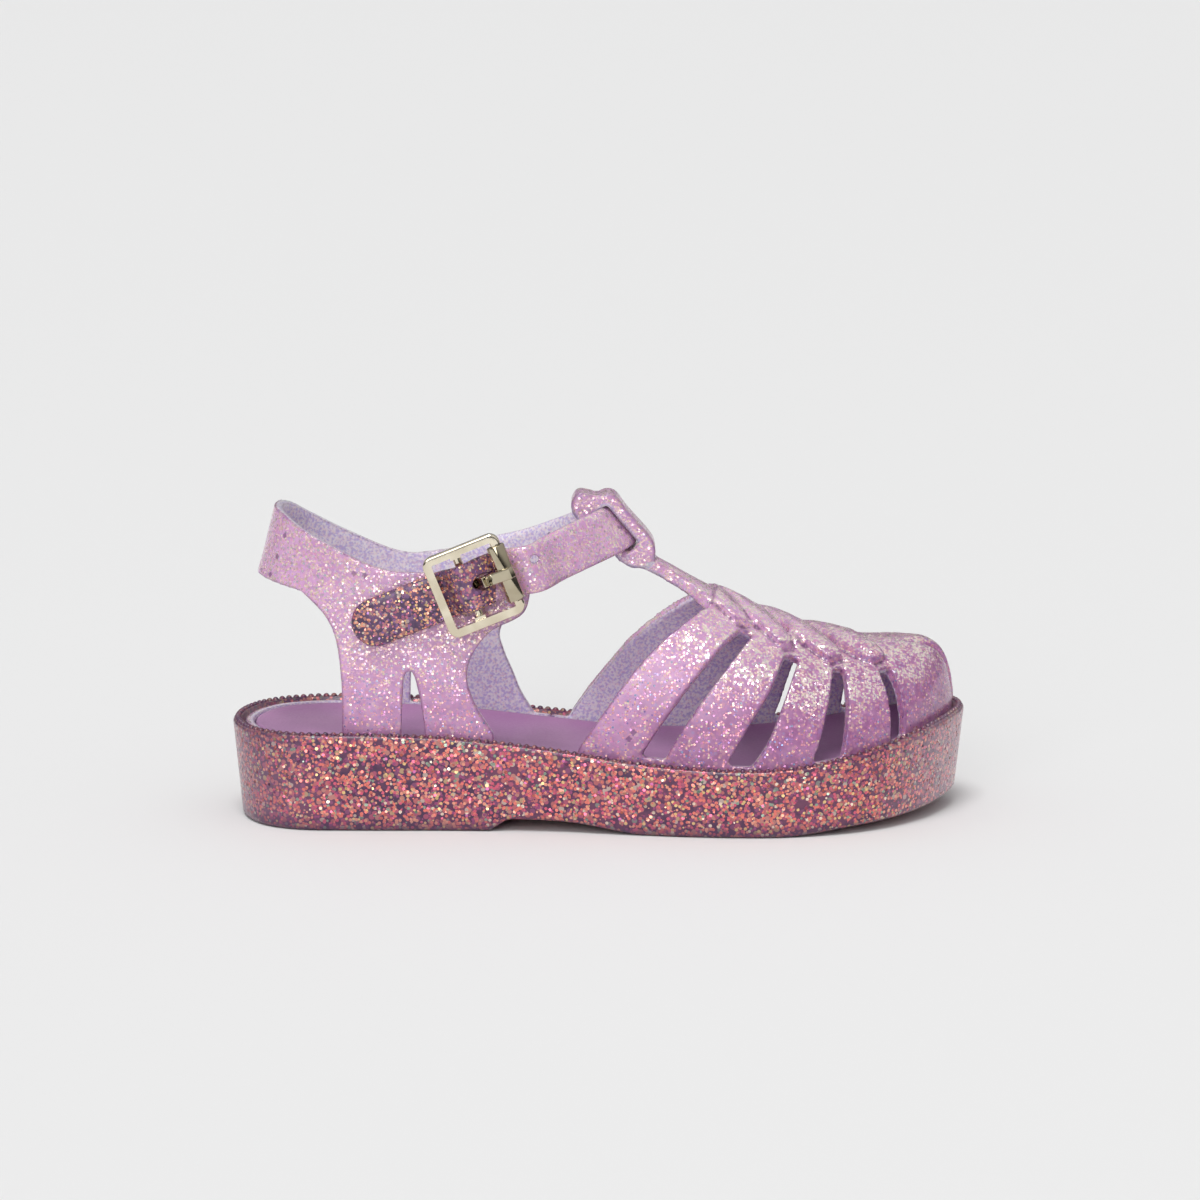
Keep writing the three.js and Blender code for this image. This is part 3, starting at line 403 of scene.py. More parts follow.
    lean = base.node("ShaderNodeVectorMath", {"operation": "SUBTRACT"}, {0: chance, 1: (0.5, 0.5, 0.5)})
    lean = base.node("ShaderNodeVectorMath", {"operation": "SCALE"}, {0: lean, 3: flake * (2 * tilt)})
    lean = base.node("ShaderNodeVectorMath", {"operation": "ADD"}, {0: waves, 1: lean})
    lean = base.node("ShaderNodeVectorMath", {"operation": "NORMALIZE"}, {0: lean})
    made_of = base.node("ShaderNodeBsdfPrincipled", values={
        "Base Color": colour, "Metallic": flake * shine, "Roughness": rough - flake * 0.1, "Normal": lean,
        "Coat Weight": 0.35, "Coat Roughness": 0.12, "Transmission Weight": clear,
        "Subsurface Weight": soft, "Subsurface Radius": (0.9, 0.6, 0.9), "Subsurface Scale": 0.0012,
    })
    base.end("ShaderNodeOutputMaterial", made_of)
    return made


SOLE_FLAKES = [
    (0.0, rgb(244, 136, 124)), (0.32, rgb(250, 172, 148)), (0.5, rgb(228, 108, 134)),
    (0.68, rgb(250, 212, 150)), (0.75, rgb(166, 88, 134)), (0.89, rgb(158, 178, 160)),
    (0.93, rgb(255, 232, 210)),
]
# The sole's shade colour is also painted shade along its bottom, and its edges colour is painted shade in
# creases.
sole_glitter = glitter(
    "sole_glitter", body=rgb(112, 58, 90), shade=rgb(70, 36, 74), edges=rgb(66, 36, 66), flakes=SOLE_FLAKES,
    size=0.8, reach=0.5, density=0.9, sunk_share=0.45, tilt=0.45, shine=0.8,
    ends=(rgb(120, 92, 120), rgb(196, 170, 186)), rough=0.36)

BOTTOM_TURN = np.linspace(0, math.pi / 2, 5)
sole_rings = [(BOTTOM_INSET + BOTTOM_ROUND * (1 - math.sin(a)),
               lambda x, a=a: bottom_at(x) + BOTTOM_ROUND * (1 - math.cos(a))) for a in BOTTOM_TURN]
sole_rings += [(BOTTOM_INSET * (1 - s), lambda x, s=s: bottom_at(x) + BOTTOM_ROUND
                + (rim_at(x) - RIM_ROUND - bottom_at(x) - BOTTOM_ROUND) * s)
               for s in (0.15, 0.35, 0.6, 0.8, 1)]
sole_rings += [(RIM_ROUND * (1 - math.cos(a)), lambda x, a=a: rim_at(x) - RIM_ROUND * (1 - math.sin(a)))
               for a in np.linspace(0, math.pi / 2, 4)[1:]]
sole_rings += [(RIM_WIDTH, rim_at), (RIM_WIDTH, pocket_floor)]
piece(laid(wrapped(sole_rings)), "sole", sole_glitter, "outsole")

# The welt beads: a row of little moulded balls round the top of the sole's rim, like stitches of a welt.
# They are one moulding with the rim.
BEAD_PITCH = 1.85
BEAD_RADIUS = 0.78
BEAD_INSET = 1.15
BEAD_SUNK = 0.1

around = from_turn(np.linspace(0, 1, 400))
loop = np.concatenate([outline(around, -1, BEAD_INSET), outline(around, 1, BEAD_INSET)[-2:0:-1]])
run = np.concatenate([[0], np.cumsum(np.linalg.norm(np.diff(loop, axis=0, append=loop[:1]), axis=1))])
count = round(run[-1] / BEAD_PITCH)
bead_row = bmesh.new()
for at in np.arange(count) * run[-1] / count:
    x = np.interp(at, run, np.append(loop[:, 0], loop[0, 0]))
    y = np.interp(at, run, np.append(loop[:, 1], loop[0, 1]))
    place = Matrix.Translation(in_scene(x, y, float(rim_at(x)) - BEAD_SUNK))
    bmesh.ops.create_icosphere(bead_row, subdivisions=2, radius=BEAD_RADIUS * MM, matrix=place)
piece(bead_row, "welt_beads", sole_glitter, None)

# The footbed: a separate cupped sheet of opaque satin purple plastic, laid in the sole's pocket.
INSOLE_CUP = 1.6
INSOLE_ROUND = 0.7
INSOLE_EDGE = UPPER_INSET + WALL + GAP


def footbed(share):
    return lambda x: rim_at(x) - INSOLE_SUNK + INSOLE_CUP * share


def footbed_base(x):
    return pocket_floor(x) + GAP


satin = bpy.data.materials.new("footbed_satin")
satin.use_nodes = True
satin.node_tree.nodes.clear()
base = Finish(satin.node_tree)
spot = base.node("ShaderNodeTexCoord", output="Object")
grain = base.node("ShaderNodeTexNoise", values={"Vector": spot, "Scale": 1400.0, "Detail": 2.0})
blotch = base.node("ShaderNodeTexNoise", values={"Vector": spot, "Scale": 45.0, "Detail": 2.0})
purple = blotch.ramp(0.35, 0.65).colours(rgb(162, 112, 158), rgb(176, 124, 170))
pebbles = base.node("ShaderNodeBump", values={"Height": grain, "Strength": 0.25, "Distance": 0.0003})
skin = base.node("ShaderNodeBsdfPrincipled", values={
    "Base Color": purple, "Roughness": grain.ramp(0.3, 0.7) * 0.12 + 0.42, "Normal": pebbles,
    "Sheen Weight": 0.15})
base.end("ShaderNodeOutputMaterial", skin)

bed_rings = [(INSOLE_EDGE + INSOLE_ROUND, footbed_base),
             (INSOLE_EDGE, lambda x: footbed_base(x) + INSOLE_ROUND),
             (INSOLE_EDGE, lambda x: footbed(1)(x) - INSOLE_ROUND),
             (INSOLE_EDGE + INSOLE_ROUND * 0.3, lambda x: footbed(1)(x) - INSOLE_ROUND * 0.3),
             (INSOLE_EDGE + INSOLE_ROUND, footbed(1))]
bed_rings += [(INSOLE_EDGE + INSOLE_ROUND + run_in, footbed(math.exp(-run_in / 3.2)))
              for run_in in (1, 2, 3.3, 5, 7, 9)]
piece(laid(wrapped(bed_rings)), "footbed", satin, "insole")

# The vamp: the woven front of the upper, moulded whole in translucent lilac plastic. Four bands cross over
# the instep and tuck under each other, the toe is closed, and a T-bar runs up to the keeper loop.
INSTEP_HEIGHT = 65.0
SECTION_POWER = 2.3
VAMP_TIP = 0.9995
HALF_GIRTH = 47.0
PAD_HALF = 4.2
PAD_RISE = 1.75
PAD_RIDGE = 0.35
PAD_TRENCH = 0.8
TBAR_THICKNESS = 2.9
TBAR_HALF = 4.4
TBAR_SLOPE = math.radians(30)
SPINE_END = 0.57
KEEPER_X = 91.0
KEEPER_RISE = 7.6
KEEPER_WIDTH = 9.5
KEEPER_SLOT = 5.0
KEEPER_WALL = 2.0
KEEPER_CLOSER = 1.1
KEEPER_LEAN = math.radians(40)
STRAP_WIDTH = 11.2
STRAP_THICKNESS = 2.2
STRAP_LIFT = 0.4

TOP = {
    "at": [0.399, 0.498, 0.567, 0.626, 0.685, 0.745, 0.804, 0.863, 0.92, 0.955, 0.978, 0.99, 1],
    "height": [1.13, 1, 0.937, 0.852, 0.767, 0.7, 0.65, 0.634, 0.63, 0.61, 0.57, 0.51, 0.345],
}
REAR_EDGE = {
    "up": [0, 0.12, 0.27, 0.42, 0.6, 0.8, 1],
    "lateral": [0.461, 0.498, 0.538, 0.577, 0.616, 0.646, 0.656],
    "medial": [0.451, 0.49, 0.535, 0.579, 0.618, 0.646, 0.656],
}
LATERAL_GAPS = [
    {"up": [0, 0.17, 0.42, 0.69], "rear": [0.543, 0.588, 0.641, 0.685],
     "front": [0.575, 0.616, 0.666, 0.703]},
    {"up": [0, 0.12, 0.36, 0.62], "rear": [0.66, 0.684, 0.724, 0.748],
     "front": [0.692, 0.721, 0.748, 0.768]},
    {"up": [0, 0.12, 0.33, 0.59], "rear": [0.782, 0.795, 0.808, 0.817],
     "front": [0.826, 0.832, 0.836, 0.831]},
    {"up": [0, 0.12, 0.33, 0.55], "rear": [0.899, 0.9, 0.895, 0.882],
     "front": [0.92, 0.92, 0.914, 0.9]},
]
MEDIAL_GAPS = [
    {"up": [0, 0.17, 0.42, 0.69], "rear": [0.532, 0.574, 0.622, 0.66],
     "front": [0.562, 0.6, 0.646, 0.678]},
    {"up": [0, 0.14, 0.38, 0.66], "rear": [0.636, 0.664, 0.699, 0.723],
     "front": [0.666, 0.692, 0.722, 0.741]},
    {"up": [0, 0.12, 0.35, 0.63], "rear": [0.738, 0.752, 0.769, 0.783],
     "front": [0.77, 0.781, 0.793, 0.799]},
    {"up": [0, 0.12, 0.33, 0.6], "rear": [0.838, 0.844, 0.85, 0.852],
     "front": [0.867, 0.872, 0.873, 0.866]},
]
TBAR = {"at": [0.532, 0.597, 0.626, 0.651, 0.685], "half": [1, 1, 1.3, 2.2, 2.8]}
LEAVES = [
    {"start": (0.636, 0.78), "end": (0.715, 0.72), "side": -1, "rise": 0.72},
    {"start": (0.685, 0.76), "end": (0.779, 0.7), "side": -1, "rise": 0.72},
    {"start": (0.755, 0.74), "end": (0.846, 0.67), "side": -1, "rise": 0.72},
    {"start": (0.777, 0.68), "end": (0.882, 0.62), "side": 1, "rise": 1},
    {"start": (0.713, 0.7), "end": (0.82, 0.65), "side": 1, "rise": 1},
    {"start": (0.651, 0.72), "end": (0.751, 0.68), "side": 1, "rise": 1},
    {"start": (0.613, 0.8), "end": (0.689, 0.74), "side": 1, "rise": 1},
]
KEEPER_EDGE = [
    (-1, 0.15), (-0.79, 0.66), (-0.5, 0.8), (0.13, 0.76), (0.54, 0.8), (0.72, 0.55), (0.8, 0.1),
    (0.96, -0.16),
    (1.1, -0.5), (1.05, -0.95), (0.86, -1.28), (0.6, -1.3), (0.15, -1.14), (-0.45, -1.06), (-0.87, -0.75),
]


def top_at(at):
    return INSTEP_HEIGHT * read(TOP, "at", "height", at, turned)


def vamp_points(at, up, depth):
    """Points of the last over the forefoot: up runs from -1 at the buckle side to 1 at the inner side."""
    at, up, depth = np.broadcast_arrays(*(np.asarray(v, float) for v in (at, up, depth)))
    lateral = outline(at, -1, UPPER_INSET + depth)
    medial = outline(at, 1, UPPER_INSET + depth)
    angle = math.pi / 2 * up
    middle, half = (lateral + medial) / 2, (medial - lateral) / 2
    low = rim_at(middle[..., 0]) - RING_DROP - WALL / 2
    high = np.maximum(low + 0.5, top_at(at) - depth)
    across = np.sign(np.sin(angle)) * np.abs(np.sin(angle)) ** (2 / SECTION_POWER)
    place = middle + half * across[..., None]
    rise = low + (high - low) * np.clip(np.cos(angle), 0, 1) ** (2 / SECTION_POWER)
    return np.concatenate([place, rise[..., None]], -1)


def raised(at, up):
    """How far the weave's leaves and the toe's rib stand out of the plain last."""
    x, w = at * LENGTH, up * HALF_GIRTH
    height = np.zeros_like(x)
    for leaf in LEAVES:
        side = leaf["side"]
        start = np.array([leaf["start"][0] * LENGTH, side * (1 - leaf["start"][1]) * HALF_GIRTH])
        end = np.array([leaf["end"][0] * LENGTH, -side * (1 - leaf["end"][1]) * HALF_GIRTH])
        reach = np.linalg.norm(end - start)
        way = (end - start) / reach
        u = ((x - start[0]) * way[0] + (w - start[1]) * way[1]) / reach
        off = (x - start[0]) * -way[1] + (w - start[1]) * way[0]
        half = PAD_HALF * np.sqrt(np.sin(math.pi * (0.05 + 0.9 * np.clip(u, 0, 1))))
        past = np.maximum(np.abs(off) / half, np.abs(2 * u - 1) ** 3)
        crown = PAD_RISE * leaf["rise"] * (0.45 + 0.55 * np.clip(1 - past**2, 0, 1) ** 0.6)
        crown = crown - PAD_RIDGE * np.exp(-((np.abs(off) / half - 0.55) / 0.09) ** 2)
        on_leaf = np.clip((1 - past) / 0.1, 0, 1)
        height = height - PAD_TRENCH * np.exp(-((past - 1.13) / 0.17) ** 2)
        height = height + (crown - height) * on_leaf
    front = np.clip((at - 0.92) / 0.03, 0, 1)
    rib = np.clip((3.4 - np.abs(w)) / 0.7, 0, 1) * 0.5
    groove = np.exp(-((np.abs(w) - 5.0) / 1.0) ** 2) * 1.1
    return height + front * (rib - groove)


def slab(columns, rows, place):
    """A closed slab: place takes shares along and across, and 0 or 1 for its two faces."""
    shape = bmesh.new()
    bmesh.ops.create_grid(shape, x_segments=columns, y_segments=rows, size=0.5)
    bmesh.ops.solidify(shape, geom=shape.faces[:], thickness=1)
    spots = np.array([v.co for v in shape.verts])
    layer = (spots[:, 2] - spots[:, 2].min()) / np.ptp(spots[:, 2])
    points = place(spots[:, 0] + 0.5, spots[:, 1] + 0.5, np.rint(layer))
    for vert, point in zip(shape.verts, points):
        vert.co = in_scene(*point)
    return outward(shape)


def solid(shape, name="form"):
    """A working object of a bmesh, for joining and cutting."""
    made = bpy.data.objects.new(name, bpy.data.meshes.new(name))
    shape.to_mesh(made.data)
    shape.free()
    scene.collection.objects.link(made)
    return made


def settled(working):
    """The object's mesh with its modifiers, in place of the object."""
    bpy.context.view_layer.update()
    mesh = bpy.data.meshes.new_from_object(working.evaluated_get(bpy.context.evaluated_depsgraph_get()))
    working.modifiers.clear()
    working.data = mesh
    return working


def cut(body, tools, operation="DIFFERENCE"):
    """Cuts or joins working objects and removes the tools."""
    for tool in tools:
        change = body.modifiers.new("cut", "BOOLEAN")
        change.operation = operation
        change.solver = "MANIFOLD"
        change.object = tool
    settled(body)
    for tool in tools:
        bpy.data.objects.remove(tool)
    return body


def moulded(forms, name, grain, rounds, material):
    """Flows overlapping forms into one moulding with soft edges."""
    whole = bmesh.new()
    for form in forms:
        whole.from_mesh(form.data)
        bpy.data.objects.remove(form)
    made = solid(whole, name)
    flow = made.modifiers.new("flow", "REMESH")
    flow.mode = "VOXEL"
    flow.voxel_size = grain * MM
    ease = made.modifiers.new("ease", "SMOOTH")
    ease.factor = 0.5
    ease.iterations = rounds
    settled(made)
    made.name = name
    made.data.name = name
    made.data.polygons.foreach_set("use_smooth", [True] * len(made.data.polygons))
    made.data.materials.append(material)
    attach(made, "root")
    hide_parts("upper")
    return made


def gap_cutter(rows, side):
    def place(u, v, layer):
        up = np.where(u < 0.1, 0.03 + 0.25 * u, 0.055 + (rows["up"][-1] - 0.055) * (u - 0.1) / 0.9)
        rear = read(rows, "up", "rear", up)
        front = read(rows, "up", "front", up)
        return vamp_points(rear + (front - rear) * v, side * (1 - up), -2.5 + layer * (WALL + 5))
    return solid(slab(20, 4, place))


def vamp_shell(u, v, layer):
    up = 2 * v - 1
    rear = np.where(up < 0, read(REAR_EDGE, "up", "lateral", 1 - np.abs(up)),
                    read(REAR_EDGE, "up", "medial", 1 - np.abs(up)))
    at = from_turn(turned(rear) + (turned(VAMP_TIP) - turned(rear)) * u)
    return vamp_points(at, up, np.where(layer > 0.5, -raised(at, up), WALL))


def toe_tip(u, v, layer):
    side = np.where(v < 0.5, -1, 1)
    points = vamp_points(np.full_like(u, VAMP_TIP), side * (1 - 0.97 * u), 0 * u)
    points[:, 0] -= np.where(layer > 0.5, 0, WALL)
    return points


def tbar(u, v, layer):
    at = TBAR["at"][0] + (TBAR["at"][-1] - TBAR["at"][0]) * u
    half = TBAR_HALF * read(TBAR, "at", "half", at)
    across = (2 * v - 1) * half
    depth = np.where(layer > 0.5, -0.25 * (1 - (2 * v - 1) ** 2), TBAR_THICKNESS)
    x = at * LENGTH - depth * math.sin(TBAR_SLOPE)
    z = top_at(at) - 0.35 * (across / TBAR_HALF) ** 2 - depth * math.cos(TBAR_SLOPE)
    return np.column_stack([x, across, z])


def side_plate(points, low, high):
    """A plate of a side view's outline, x and z, from one y to another."""
    shape = bmesh.new()
    corners = [shape.verts.new(in_scene(x, low, z)) for x, z in points]
    bmesh.ops.contextual_create(shape, geom=corners)
    bmesh.ops.solidify(shape, geom=shape.faces[:], thickness=1)
    spread = np.array([v.co.y for v in shape.verts])
    middle = (spread.min() + spread.max()) / 2
    for vert in shape.verts:
        vert.co.y = (low if vert.co.y < middle else high) * MM
    bmesh.ops.triangulate(shape, faces=[f for f in shape.faces if len(f.verts) > 4])
    return solid(outward(shape))


def flowing(points, steps, closed=False):
    """A smooth line through points."""
    points = np.array(points, float)
    count = len(points) if closed else len(points) - 1
    line = []
    for i in range(count):
        near = (i - 1, i, i + 1, i + 2)
        picked = [k % len(points) if closed else min(max(k, 0), len(points) - 1) for k in near]
        a, b, c, d = points[picked]
        for s in np.arange(steps) / steps:
            line.append(0.5 * (2 * b + (c - a) * s + (2 * a - 5 * b + 4 * c - d) * s**2
                               + (3 * b - a - 3 * c + d) * s**3))
    return line if closed else line + [points[-1]]


keeper_middle = np.array([KEEPER_X, float(top_at(SPINE_END)) + KEEPER_RISE])
keeper_along = np.array([-math.sin(KEEPER_LEAN), math.cos(KEEPER_LEAN)])
keeper_across = np.array([math.cos(KEEPER_LEAN), math.sin(KEEPER_LEAN)])


def in_keeper(along, across):
    return keeper_middle + along * keeper_along + across * keeper_across


keeper = side_plate(flowing([in_keeper(a * STRAP_WIDTH, b * KEEPER_SLOT) for a, b in KEEPER_EDGE], 6, True),
                    -KEEPER_WIDTH / 2, KEEPER_WIDTH / 2)
slot_end = STRAP_WIDTH / 2 + STRAP_LIFT
slot_front = 0.8 * KEEPER_SLOT - KEEPER_WALL - KEEPER_CLOSER
slot_back = slot_front - KEEPER_SLOT + KEEPER_CLOSER
slot_corners = [(-slot_end, slot_back), (slot_end, slot_back),
                (slot_end, slot_front), (-slot_end, slot_front)]
keeper = cut(keeper, [side_plate([in_keeper(*c) for c in slot_corners], -KEEPER_WIDTH, KEEPER_WIDTH)])

vamp = solid(slab(230, 260, vamp_shell))
gaps = [gap_cutter(rows, -1) for rows in LATERAL_GAPS] + [gap_cutter(rows, 1) for rows in MEDIAL_GAPS]
vamp = cut(vamp, gaps)


def ring_part(start, end):
    """The base ring inside the sole's rim, from one share of the length to another."""
    def ring_top(x):
        return rim_at(x) - RING_DROP

    at = from_turn(np.linspace(turned(start), turned(end), 160))
    outer, inner = UPPER_INSET, UPPER_INSET + WALL
    loops = []
    for inset, height in ((outer, footbed_base), (outer, ring_top), (inner, ring_top), (inner, footbed_base)):
        side = np.concatenate([outline(at, -1, inset), outline(at, 1, inset)[::-1]])
        if start == 0:
            side = np.concatenate([side[len(at):], side[1:len(at)]])
        loops.append(np.column_stack([side, height(side[:, 0])]))
    shape = laid(np.array(loops + [loops[0]]))
    bmesh.ops.holes_fill(shape, edges=[e for e in shape.edges if e.is_boundary], sides=4)
    return solid(outward(shape))


LILAC_FLAKES = [
    (0.0, rgb(244, 168, 178)), (0.3, rgb(226, 150, 204)), (0.55, rgb(250, 196, 184)),
    (0.7, rgb(168, 138, 204)), (0.84, rgb(255, 232, 206)), (0.95, rgb(150, 170, 214)),
]
# The lilac's shade colour is partly painted shade on the upper's low and front parts, its glint colour a
# painted highlight, and its pale inner colours painted light coming through from behind.
lilac = glitter(
    "lilac_glitter", body=rgb(226, 178, 220), shade=rgb(166, 104, 154), edges=rgb(112, 62, 118),
    flakes=LILAC_FLAKES, size=0.56, reach=0.46, density=0.86, sunk_share=0.3, tilt=0.26, shine=0.45,
    glint=rgb(255, 244, 230), inner_backlight_paint=(rgb(208, 196, 238), rgb(254, 248, 255)), clear=0.15, soft=0.25,
    rough=0.33)

RING_SPLIT = 0.43
vamp_piece = moulded([vamp, solid(slab(40, 1, toe_tip)), solid(slab(60, 16, tbar)), keeper,
                      ring_part(RING_SPLIT, 1)], "woven_vamp", 0.485, 1, lilac)

# The quarter: the back of the upper, a collar round the heel on two pairs of legs, moulded with the base
# ring and with the ankle strap, whose holed end runs round the front of the ankle to the buckle.
COLLAR_HEIGHT = 74.0
ANKLE_HALF = 22.0
ANKLE_BACK = 7.0
ANKLE_FRONT = 95.0
ANKLE_POWER = 2.5
HEEL_LEAN = 13.0
PLUMB_LEVEL = 0.72
ANKLE_LEVEL = 0.8
FOOT_LEVEL = 0.12
QUARTER_FRONT = 72.0
STRAP_START = 52.0
STRAP_LEVEL = 0.6
BUCKLE_X = 57.7
BUCKLE_LEVEL = 0.69
BUCKLE_TILT = math.radians(22)
TAIL = 30.0
FRAME_LONG = 18.6
FRAME_TALL = 19.8
FRAME_BAR = 2.9
FRAME_THICKNESS = 2.4
BAR_RADIUS = 1.0
BAR_DROP = 2.4
BAR_BACK = 1.5
ROLLER_RADIUS = 2.1
ROLLER_GAP = 0.3
PRONG_EYE = 0.55
PRONG_HOLE = 1.7
SPARE_HOLE = 1.0
HOLE_STRETCH = 1.45
HOLE_PLACE = 2.3
SPARE_HOLE_SPACING = 12.5

LATERAL_QUARTER = [
    (0.156, 0), (0.156, 0.2), (0.15, 0.4), (0.136, 0.52), (0.108, 0.615), (0.073, 0.7), (0.03, 0.735),
    (-0.03, 0.735), (-0.03, 0.995), (0.045, 0.995), (0.071, 0.975), (0.103, 0.91), (0.142, 0.842),
    (0.203, 0.752), (0.253, 0.73), (0.333, 0.74), (0.388, 0.76), (0.405, 0.71), (0.405, 0.6), (0.393, 0.53),
    (0.355, 0.465), (0.331, 0.364), (0.323, 0.27), (0.327, 0.19), (0.339, 0.1), (0.358, 0),
]
MEDIAL_QUARTER = [
    (0.156, 0), (0.156, 0.2), (0.15, 0.4), (0.136, 0.52), (0.108, 0.615), (0.073, 0.7), (0.03, 0.735),
    (-0.03, 0.735), (-0.03, 0.995), (0.045, 0.995), (0.071, 0.975), (0.103, 0.9), (0.154, 0.8),
    (0.223, 0.7), (0.279, 0.705), (0.333, 0.74), (0.373, 0.76), (0.403, 0.7), (0.403, 0.6), (0.381, 0.46),
    (0.361, 0.33), (0.366, 0.236), (0.378, 0.14), (0.39, 0.04), (0.407, -0.055),
]
LEG_SLOT = [
    (0.235, -0.08), (0.2355, 0.05), (0.237, 0.16), (0.2385, 0.25), (0.243, 0.285), (0.2495, 0.285),
    (0.254, 0.25), (0.26, 0.16), (0.265, 0.05), (0.267, -0.08),
]
STRAP_PATH = {
    "run": [0, 0.22, 0.46, 0.7, 0.89, 1, 0.93, 0.78, 0.62],
    "out": [1, 0.97, 0.87, 0.68, 0.38, 0, 0.33, 0.62, 0.88],
    "rise": [0, 0.2, 0.37, 0.63, 0.89, 1, 0.94, 0.81, 0.66],
    "lean": [0, 3, 12, 25, 36, 40, 36, 26, 21],
    "side": [1, 1, 1, 1, 1, 1, -1, -1, -1],
}
BAR_TO_STRAP = FRAME_THICKNESS / 2 + STRAP_LIFT + STRAP_THICKNESS / 2
ROLLER_TO_STRAP = ROLLER_RADIUS + STRAP_LIFT + STRAP_THICKNESS / 2
OUT_TO_WALL = ROLLER_TO_STRAP + STRAP_THICKNESS / 2 + STRAP_LIFT
FRONT_BAR = FRAME_LONG / 2 - FRAME_BAR / 2
EYE_RADIUS = BAR_RADIUS + ROLLER_GAP + PRONG_EYE
BULGE = EYE_RADIUS - BAR_DROP + 1.5 * STRAP_LIFT + STRAP_THICKNESS / 2
THREADING = [
    (FRONT_BAR + 6, -1.9, -ROLLER_TO_STRAP + 0.6), (FRONT_BAR, -0.6, -ROLLER_TO_STRAP), (2.6, 0, -1.3),
    (-BAR_BACK, 0, BULGE), (-BAR_BACK - 2.4, 0, -0.4), (-FRONT_BAR + 1.6, 0, -BAR_TO_STRAP - 0.2),
    (-FRONT_BAR, 0, -BAR_TO_STRAP - 0.5), (-FRONT_BAR - 5, 0, -ROLLER_TO_STRAP + 0.3),
    (-TAIL * 0.55, 0, -ROLLER_TO_STRAP), (-TAIL * 0.8, 0, -ROLLER_TO_STRAP - 0.1),
    (-TAIL, 0, -ROLLER_TO_STRAP - 0.4),
]


def collar_z(share):
    return RIM_HEIGHT + share * (COLLAR_HEIGHT - RIM_HEIGHT)


def quarter_wall(u, v, layer):
    turn, level, depth = 2 * u - 1, 1.02 * v, np.where(layer > 0.5, 0, WALL)
    target = QUARTER_FRONT * (1 - np.cos(math.pi / 2 * np.abs(turn)))
    side = np.where(turn < 0, -1, 1)
    foot = np.where((side < 0)[:, None], outline(target / LENGTH, -1, UPPER_INSET + depth),
                    outline(target / LENGTH, 1, UPPER_INSET + depth))
    back = ANKLE_BACK + depth + HEEL_LEAN * (level - PLUMB_LEVEL)
    share = (target / QUARTER_FRONT) * (QUARTER_FRONT - back) / (ANKLE_FRONT - depth - back)
    x = back + target * (QUARTER_FRONT - back) / QUARTER_FRONT
    y = side * (ANKLE_HALF - depth) * (1 - np.abs(2 * share - 1) ** ANKLE_POWER) ** (1 / ANKLE_POWER)
    blend = np.clip(level / ANKLE_LEVEL, 0, 1)
    blend = blend**2 * (3 - 2 * blend)
    low = rim_at(target) - RING_DROP - WALL / 2
    z = low + (collar_z(level) - low) * np.clip(level / FOOT_LEVEL, 0, 1)
    return np.column_stack([foot[:, 0] + (x - foot[:, 0]) * blend, foot[:, 1] + (y - foot[:, 1]) * blend, z])


def quarter_plate(table, low, high):
    corners = [(x * LENGTH, collar_z(z)) for x, z in table]
    line = flowing(corners, 5)
    return side_plate([(corners[0][0], corners[0][1] - RIM_HEIGHT)] + line
                      + [(corners[-1][0], corners[-1][1] - RIM_HEIGHT)], low, high)


def in_buckle(along, across, out):
    """A place of the buckle's own frame: along the strap, across it, and out from the ankle."""
    return np.array([BUCKLE_X + along * math.cos(BUCKLE_TILT) - across * math.sin(BUCKLE_TILT),
                     -(ANKLE_HALF + OUT_TO_WALL + out),
                     collar_z(BUCKLE_LEVEL) + along * math.sin(BUCKLE_TILT) + across * math.cos(BUCKLE_TILT)])


def strap_line():
    """Fine points down the middle of the strap, with the lean of its width at each."""
    stops, leans = [], []
    low = collar_z(STRAP_LEVEL)
    for run_to, out, rise, lean, side in zip(*STRAP_PATH.values()):
        stops.append([STRAP_START + (keeper_middle[0] - STRAP_START) * run_to,
                      side * (ANKLE_HALF - WALL / 2) * out, low + (keeper_middle[1] - low) * rise])
        leans.append(lean)
    stops += [in_buckle(*row) for row in THREADING]
    leans += [math.degrees(BUCKLE_TILT)] * len(THREADING)
    stops = np.array(stops)
    line, keys = [], []
    for i in range(len(stops) - 1):
        b, c = stops[i], stops[i + 1]
        a = stops[i - 1] if i else 2 * b - c
        d = stops[i + 2] if i + 2 < len(stops) else 2 * c - b
        before, here, after = (math.sqrt(np.linalg.norm(q - p)) for p, q in ((a, b), (b, c), (c, d)))
        first = ((b - a) / before - (c - a) / (before + here) + (c - b) / here) * here
        last = ((c - b) / here - (d - b) / (here + after) + (d - c) / after) * here
        for s in np.arange(30) / 30:
            line.append((2 * s**3 - 3 * s**2 + 1) * b + (s**3 - 2 * s**2 + s) * first
                        + (3 * s**2 - 2 * s**3) * c + (s**3 - s**2) * last)
            keys.append(i + s)
    line, keys = np.array(line + [stops[-1]]), np.array(keys + [len(stops) - 1.0])
    run_on = np.concatenate([[0], np.cumsum(np.linalg.norm(np.diff(line, axis=0), axis=1))])
    leans = read({"key": range(len(leans)), "lean": leans}, "key", "lean", keys)
    return line, run_on, leans


STRAP_LINE, STRAP_RUN, STRAP_LEAN = strap_line()


